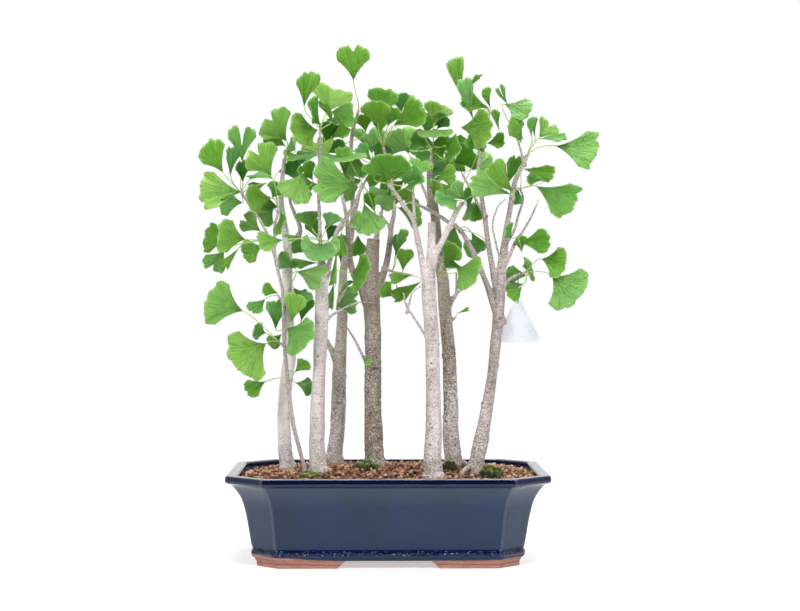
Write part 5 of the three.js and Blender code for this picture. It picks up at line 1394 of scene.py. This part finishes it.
def leaf_face(name, greens, gloss, vein_light, coolness):
    """One face of a blade: forking veins along its own map, a pale margin that is partly a painted
    highlight, a tone of its own.
    """
    made, tree, shader = finish_of(name, Roughness=gloss, Specular_IOR_Level=0.35)
    blade = node(tree, "UVMap", {"uv_map": "blade"}).outputs[0]
    edges = node(tree, "UVMap", {"uv_map": "edges"}).outputs[0]
    out = part_of(blade, "Y")
    cool = layer(tree, "leaf_cool")
    fine = cloud(stretched(blade, (1.0, 0.9, 1.0)), 1.0, 2.0, 0.5)
    patch = cloud(stretched(blade, (0.16, 2.2, 1.0)), 1.0, 3.0, 0.5)
    forked = ramp(out, [(0.42, 0.0), (0.5, 1.0)])
    veins = blend(forked, bands(blade, 0.13, 0.6), bands(blade, 0.26, 0.6))
    pleats = bands(blade, 0.065, 1.6)
    tone = plus(layer(tree, "leaf_tone"), times(patch, 0.44))
    # The tone also follows the pleats, a little lighter and darker across them: painted light and shade of
    # the folds.
    tone = plus(plus(tone, times(fine, 0.16)), times(pleats, 0.1))
    tone = plus(tone, -0.35)
    shade = ramp(tone, greens)
    mint = times(ramp(cool, [(0.55, 0.0), (1.0, 1.0)]), coolness)
    shade = blend(mint, shade, LEAF_MINT)
    olive = times(ramp(cool, [(0.0, 1.0), (0.3, 0.0)]), coolness)
    shade = blend(olive, shade, LEAF_OLIVE)
    lines = times(ramp(veins, [(0.5, 0.0), (0.95, 1.0)]), vein_light)
    shade = blend(lines, shade, VEIN_PALE)
    # The pale line round the margin is partly the leaf's own colour and partly a painted highlight.
    rim = ramp(out, [(0.945, 0.0), (0.975, 0.55)])
    sides = ramp(part_of(edges, "X"), [(0.95, 0.0), (0.985, 0.55)])
    shade = blend(larger(rim, sides), shade, MARGIN_PALE_AND_SHEEN)
    shade = blend(ramp(out, [(0.0, 0.75), (0.3, 0.0)]), shade, VEIN_PALE)
    ribs = bump(pleats, 0.0005, bump(veins, 0.0003))
    dress(shader, Base_Color=shade, Normal=bump(patch, 0.0036, ribs))
    glow = blend(0.25, THROUGH_GREEN, shade)
    through = node(tree, "BsdfTranslucent", None, {"Color": glow}).outputs[0]
    both = node(tree, "MixShader", None, {0: 0.34, 1: shader.outputs[0], 2: through}).outputs[0]
    tree.links.new(both, tree.nodes["Material Output"].inputs["Surface"])
    return made


leaf_upper = leaf_face("leaf_upper_face", LEAF_GREENS, 0.38, 0.2, 0.6)
leaf_under = leaf_face("leaf_under_face", UNDER_GREENS, 0.58, 0.3, 0.4)

leaf_stalk, tree, shader = finish_of("leaf_stalk", Roughness=0.5, Specular_IOR_Level=0.4)
mottle = cloud(place_of(tree), 260.0, 3.0)
along = plus(layer(tree, "stalk_run"), times(mottle, 0.25))
dress(shader, Base_Color=ramp(along, [(0.1, STALK_ROSY), (0.45, STALK_GREEN), (1.0, STALK_TOP)]),
      Normal=bump(mottle, 0.0002))


def seeded(seed):
    """The plant's own even dice, so that each leaf hangs the same way every time."""
    state = seed % DICE_RANGE

    def draw():
        nonlocal state
        state = (state * DICE_STEP) % DICE_RANGE
        return state / DICE_RANGE
    return draw


def blade_frame(clock, lean, face):
    """Which way a blade points, which way its upper face looks, and which way is its side."""
    turn, tip, roll = math.radians(clock), math.radians(lean), math.radians(face)
    axis = Vector((math.cos(tip) * math.cos(turn), -math.sin(tip), math.cos(tip) * math.sin(turn)))
    towards = Vector((0, -1, 0))
    towards = (towards - axis * towards.dot(axis)).normalized()
    across = axis.cross(towards)
    normal = towards * math.cos(roll) + across * math.sin(roll)
    return axis, normal, normal.cross(axis)


MARGINS = [
    [(-1, 0.86), (-0.45, 1), (0, 1), (0.45, 1), (1, 0.86)],
    [(-1, 0.84), (-0.62, 0.95), (-0.22, 1), (0, 1), (0.22, 1), (0.62, 0.96), (1, 0.84)],
    [(-1, 0.84), (-0.76, 0.97), (-0.5, 0.93), (-0.2, 1), (0, 1), (0.2, 1), (0.5, 0.94), (0.76, 0.98),
     (1, 0.84)],
]


def margin_of(length, notch, uneven, phase):
    """How far the margin reaches, as a share of the length, at a share of the half spread."""
    knots = MARGINS[0 if length < 32 else 1 if length < 50 else 2]
    middle = (len(knots) - 1) / 2
    reaches = [(share, reach + (0 if i == middle else 0.06 * uneven[i]))
               for i, (share, reach) in enumerate(knots)]
    deep = notch / 100 * (SHALLOW if notch < 22 else 1.0)

    def reach_at(share):
        for (a, low), (b, high) in zip(reaches, reaches[1:]):
            if share <= b + 1e-9:
                step = (share - a) / (b - a)
                base = low + (high - low) * (3 * step * step - 2 * step ** 3)
                break
        slit = deep * max(0.0, 1 - abs(share) / 0.2) ** 1.2
        corner = max(0.0, (abs(share) - 0.7) / 0.3)
        crimp = 0.017 * math.sin(share * 17 + phase) + 0.012 * math.sin(share * 34 + 2.7 * phase)
        edge = base * (1 - 0.12 * corner ** 2.2) + crimp * (1 - corner) - slit
        return min(edge, max(low, high))
    return reach_at


def blade(row, form, hang):
    """One blade as a thin closed shell, laid over a net with its own maps."""
    x, y, z, clock, lean, face, length, spread, notch = row
    length *= BLADE_TRIM
    cup, fold, wave, phase, droop, uneven = form
    curl_left, curl_right, tone, cool = hang
    axis, normal, side = blade_frame(clock, lean, face)
    half = math.radians(spread / 2)
    reach_at = margin_of(length, notch, uneven, phase)
    foot = in_row(x, y, z)
    bm = bmesh.new()
    map_layer = bm.loops.layers.uv.new("blade")
    edge_layer = bm.loops.layers.uv.new("edges")
    tone_layer = bm.verts.layers.float.new("leaf_tone")
    cool_layer = bm.verts.layers.float.new("leaf_cool")
    bm.verts.layers.float.new("stalk_run")
    bmesh.ops.create_grid(bm, x_segments=BLADE_COLUMNS, y_segments=BLADE_ROWS, size=1.0)
    spots = {}
    for vert in bm.verts:
        share, out = vert.co.x, (vert.co.y + 1) / 2
        edge = reach_at(share)
        reach = BLADE_START + (edge - BLADE_START) * out
        narrow = NARROW_FOOT + (1 - NARROW_FOOT) * out ** 0.85
        angle = share * half * narrow * (0.86 + 0.14 * reach)
        spots[vert] = (share * half * length, out, abs(share))
        ripple = wave * reach ** 2 * math.sin(phase + share * 5)
        ripple += 0.022 * out ** 3 * math.sin(phase * 3 + share * 13)
        trough = fold * reach * abs(math.sin(angle)) + cup * reach ** 2
        curl = (curl_left if share < 0 else curl_right) * reach ** 2 * abs(share) ** 2.5
        raised = ripple + trough + curl - droop * reach ** 2 * normal.z
        vert.co = foot + (axis * math.cos(angle) * reach + side * math.sin(angle) * reach
                          + normal * raised) * length * MM
        vert[tone_layer] = tone
        vert[cool_layer] = cool
    for facet in bm.faces:
        for loop in facet.loops:
            across, out, share = spots[loop.vert]
            loop[map_layer].uv = (across, out)
            loop[edge_layer].uv = (share, out)
    bm.normal_update()
    if sum((facet.normal for facet in bm.faces), Vector()).dot(normal) < 0:
        bmesh.ops.reverse_faces(bm, faces=bm.faces)
    front = list(bm.faces)
    bmesh.ops.solidify(bm, geom=front, thickness=BLADE_THICK * MM)
    bm.normal_update()
    for facet in bm.faces:
        facet.material_index = 0 if facet in front else 1
        facet.smooth = True
    return mesh_from(bm, "blade")


def stalk(start, leaving, foot, axis):
    """A round stalk from the spur into the foot of a blade, a little thicker at both ends."""
    foot = foot + axis * 1.4 * MM
    reach = (foot - start).length
    first = start.lerp(foot, 0.15) + leaving * min(MM + reach * 0.2, 8 * MM)
    second = foot - axis * min(reach * 0.35, 14 * MM)
    bm = bmesh.new()
    run = bm.verts.layers.float.new("stalk_run")
    ring = bmesh.ops.create_circle(bm, cap_ends=True, segments=STALK_SIDES, radius=1.0)["verts"]
    shape = [vert.co.copy() for vert in ring]
    edges = list(bm.edges)
    for step in range(STALK_RINGS + 1):
        t = step / STALK_RINGS
        middle = (start * (1 - t) ** 3 + first * 3 * t * (1 - t) ** 2
                  + second * 3 * t * t * (1 - t) + foot * t ** 3)
        ahead = ((first - start) * 3 * (1 - t) ** 2 + (second - first) * 6 * t * (1 - t)
                 + (foot - second) * 3 * t * t).normalized()
        turn = ahead.to_track_quat("Z", "Y").to_matrix()
        if step:
            ring, edges = next_ring(bm, edges)
        wide = STALK_HALF * (1 + 0.7 * (1 - t) ** 6 + 0.3 * t ** 5)
        for vert, spot in zip(ring, shape):
            vert.co = middle + turn @ spot * wide * MM
            vert[run] = t
    bmesh.ops.contextual_create(bm, geom=edges)
    bmesh.ops.recalc_face_normals(bm, faces=bm.faces)
    smoothed(bm)
    for facet in bm.faces:
        facet.material_index = 2
    return mesh_from(bm, "stalk")


def tuft_start(stem_number, limb):
    """Where the stalks of a tuft leave its spur, and which way they set out."""
    grown = TREES[stem_number - 1]
    path = grown["stem"] if limb == "stem" else grown["limbs"][limb]
    tip, before = Vector(path[-1][:3]), Vector(path[-2][:3])
    leaving = (tip - before).normalized()
    return in_row(*(tip + leaving * 2)), leaving


def own_form(draw):
    """How far a blade is cupped, folded, waved and bent down, and how uneven its margin is."""
    return (0.04 + 0.14 * draw(), 0.04 + 0.16 * draw(), 0.035 + 0.05 * draw(), 6.28 * draw(),
            0.1 + 0.2 * draw(), [draw() - 0.5 for _ in range(9)])


def own_tone(draw, row, shade):
    """How light a blade is: long ones are lighter, high ones painted lighter as sunlit, those at the back
    painted darker as shade.
    """
    _, y, z, _, _, _, length, _, _ = row
    (sunlit, rise), (shaded, back) = SUNLIT_FROM, SHADED_FROM
    tone = shade + 0.55 * (draw() - 0.5)
    tone += 0.006 * (length - 40) + 0.25 * ease((z - sunlit) / rise)
    return max(0.0, tone - 0.2 * ease((y - shaded) / back))


first_numbers = {}
count = 1
for name, (_, _, rows) in TUFTS.items():
    first_numbers[name] = count
    count += len(rows)
for stem_number in range(1, len(TREES) + 1):
    bm = bmesh.new()
    stood_for = [name for name, tuft in TUFTS.items() if tuft[0] == stem_number]
    for name in stood_for:
        _, limb, rows = TUFTS[name]
        start, leaving = tuft_start(stem_number, limb)
        for place, row in enumerate(rows + INNER_LEAVES.get(name, [])):
            grown_first = place < len(rows)
            number = first_numbers[name] + place + (0 if grown_first else count)
            draw = seeded(number * LEAF_SEED[0] + LEAF_SEED[1])
            form = own_form(draw)
            tone = own_tone(draw, row, FREE_SHADE if grown_first else INNER_SHADE)
            hang = (0.2 * draw() - 0.05, 0.2 * draw() - 0.05, tone, draw())
            axis, _, _ = blade_frame(*row[3:6])
            poured_in(bm, blade(row, form, hang))
            poured_in(bm, stalk(start, leaving, in_row(*row[:3]), axis))
    crown = piece_from(bm, f"crown_{stem_number}", leaf_upper, leaf_under, leaf_stalk)
    hung_on_root(crown, "leaf", *stood_for)

# ------------------------------------------------------------------ tag
# A blank three-cornered tag is cut from stiff white card, with a punched eye near its top.
# It hangs from a twig of the last stem and shows its soft, slightly grey fibres.

CARD_WHITE = (0.65, 0.68, 0.73)
CARD_SHADE = (0.55, 0.59, 0.65)

card, tree, shader = finish_of("white_card", Roughness=0.55, Specular_IOR_Level=0.4)
fibres = cloud(place_of(tree, (1.0, 1.0, 2.5)), 380.0, 5.0, 0.7)
dress(shader, Base_Color=ramp(fibres, [(0.35, CARD_SHADE), (0.6, CARD_WHITE)]),
      Normal=bump(fibres, 0.00008))
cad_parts["tag"].material_slots[0].material = card

# ------------------------------------------------------------------ tag thread
# A thin dark thread, twisted from a few strands, is tied to a closed loop. It runs over the
# twig and through the eye of the tag, whose weight keeps both sides of the loop straight.

TAG_X = 163.0
THREAD_HALF = 0.42
THREAD_LOOP = [(-38.6, 319.9), (-37, 322), (-37.2, 340), (-37.5, 357.1), (-38.3, 359.3),
               (-40.25, 360.2), (-42.2, 359.3), (-43, 357.1), (-41.6, 340), (-40.2, 322)]
THREAD_DARK = (0.05, 0.045, 0.04)
THREAD_LIGHT = (0.16, 0.15, 0.13)

twine, tree, shader = finish_of("twisted_thread", Roughness=0.85, Sheen_Weight=0.4)
strands = bands(place_of(tree), 900.0, 1.5, "DIAGONAL", 2.0)
dress(shader, Base_Color=ramp(strands, [(0.2, THREAD_DARK), (0.8, THREAD_LIGHT)]),
      Normal=bump(strands, 0.0002))

loop = bpy.data.curves.new("thread_path", "CURVE")
loop.dimensions = "3D"
loop.bevel_depth = THREAD_HALF * MM
loop.bevel_resolution = 3
loop.resolution_u = 6
line = loop.splines.new("NURBS")
line.points.add(len(THREAD_LOOP) - 1)
for point, (y, z) in zip(line.points, THREAD_LOOP):
    point.co = (*in_row(TAG_X, y, z), 1.0)
line.use_cyclic_u = True
line.order_u = 3
path = bpy.data.objects.new("thread_path", loop)
scene.collection.objects.link(path)
bm = bmesh.new()
poured_in(bm, bpy.data.meshes.new_from_object(
    path.evaluated_get(bpy.context.evaluated_depsgraph_get())))
bpy.data.objects.remove(path)
bmesh.ops.recalc_face_normals(bm, faces=bm.faces)
thread = piece_from(bm, "tag_thread_loop", twine)
hung_on_root(thread, "thread", "tag_thread")
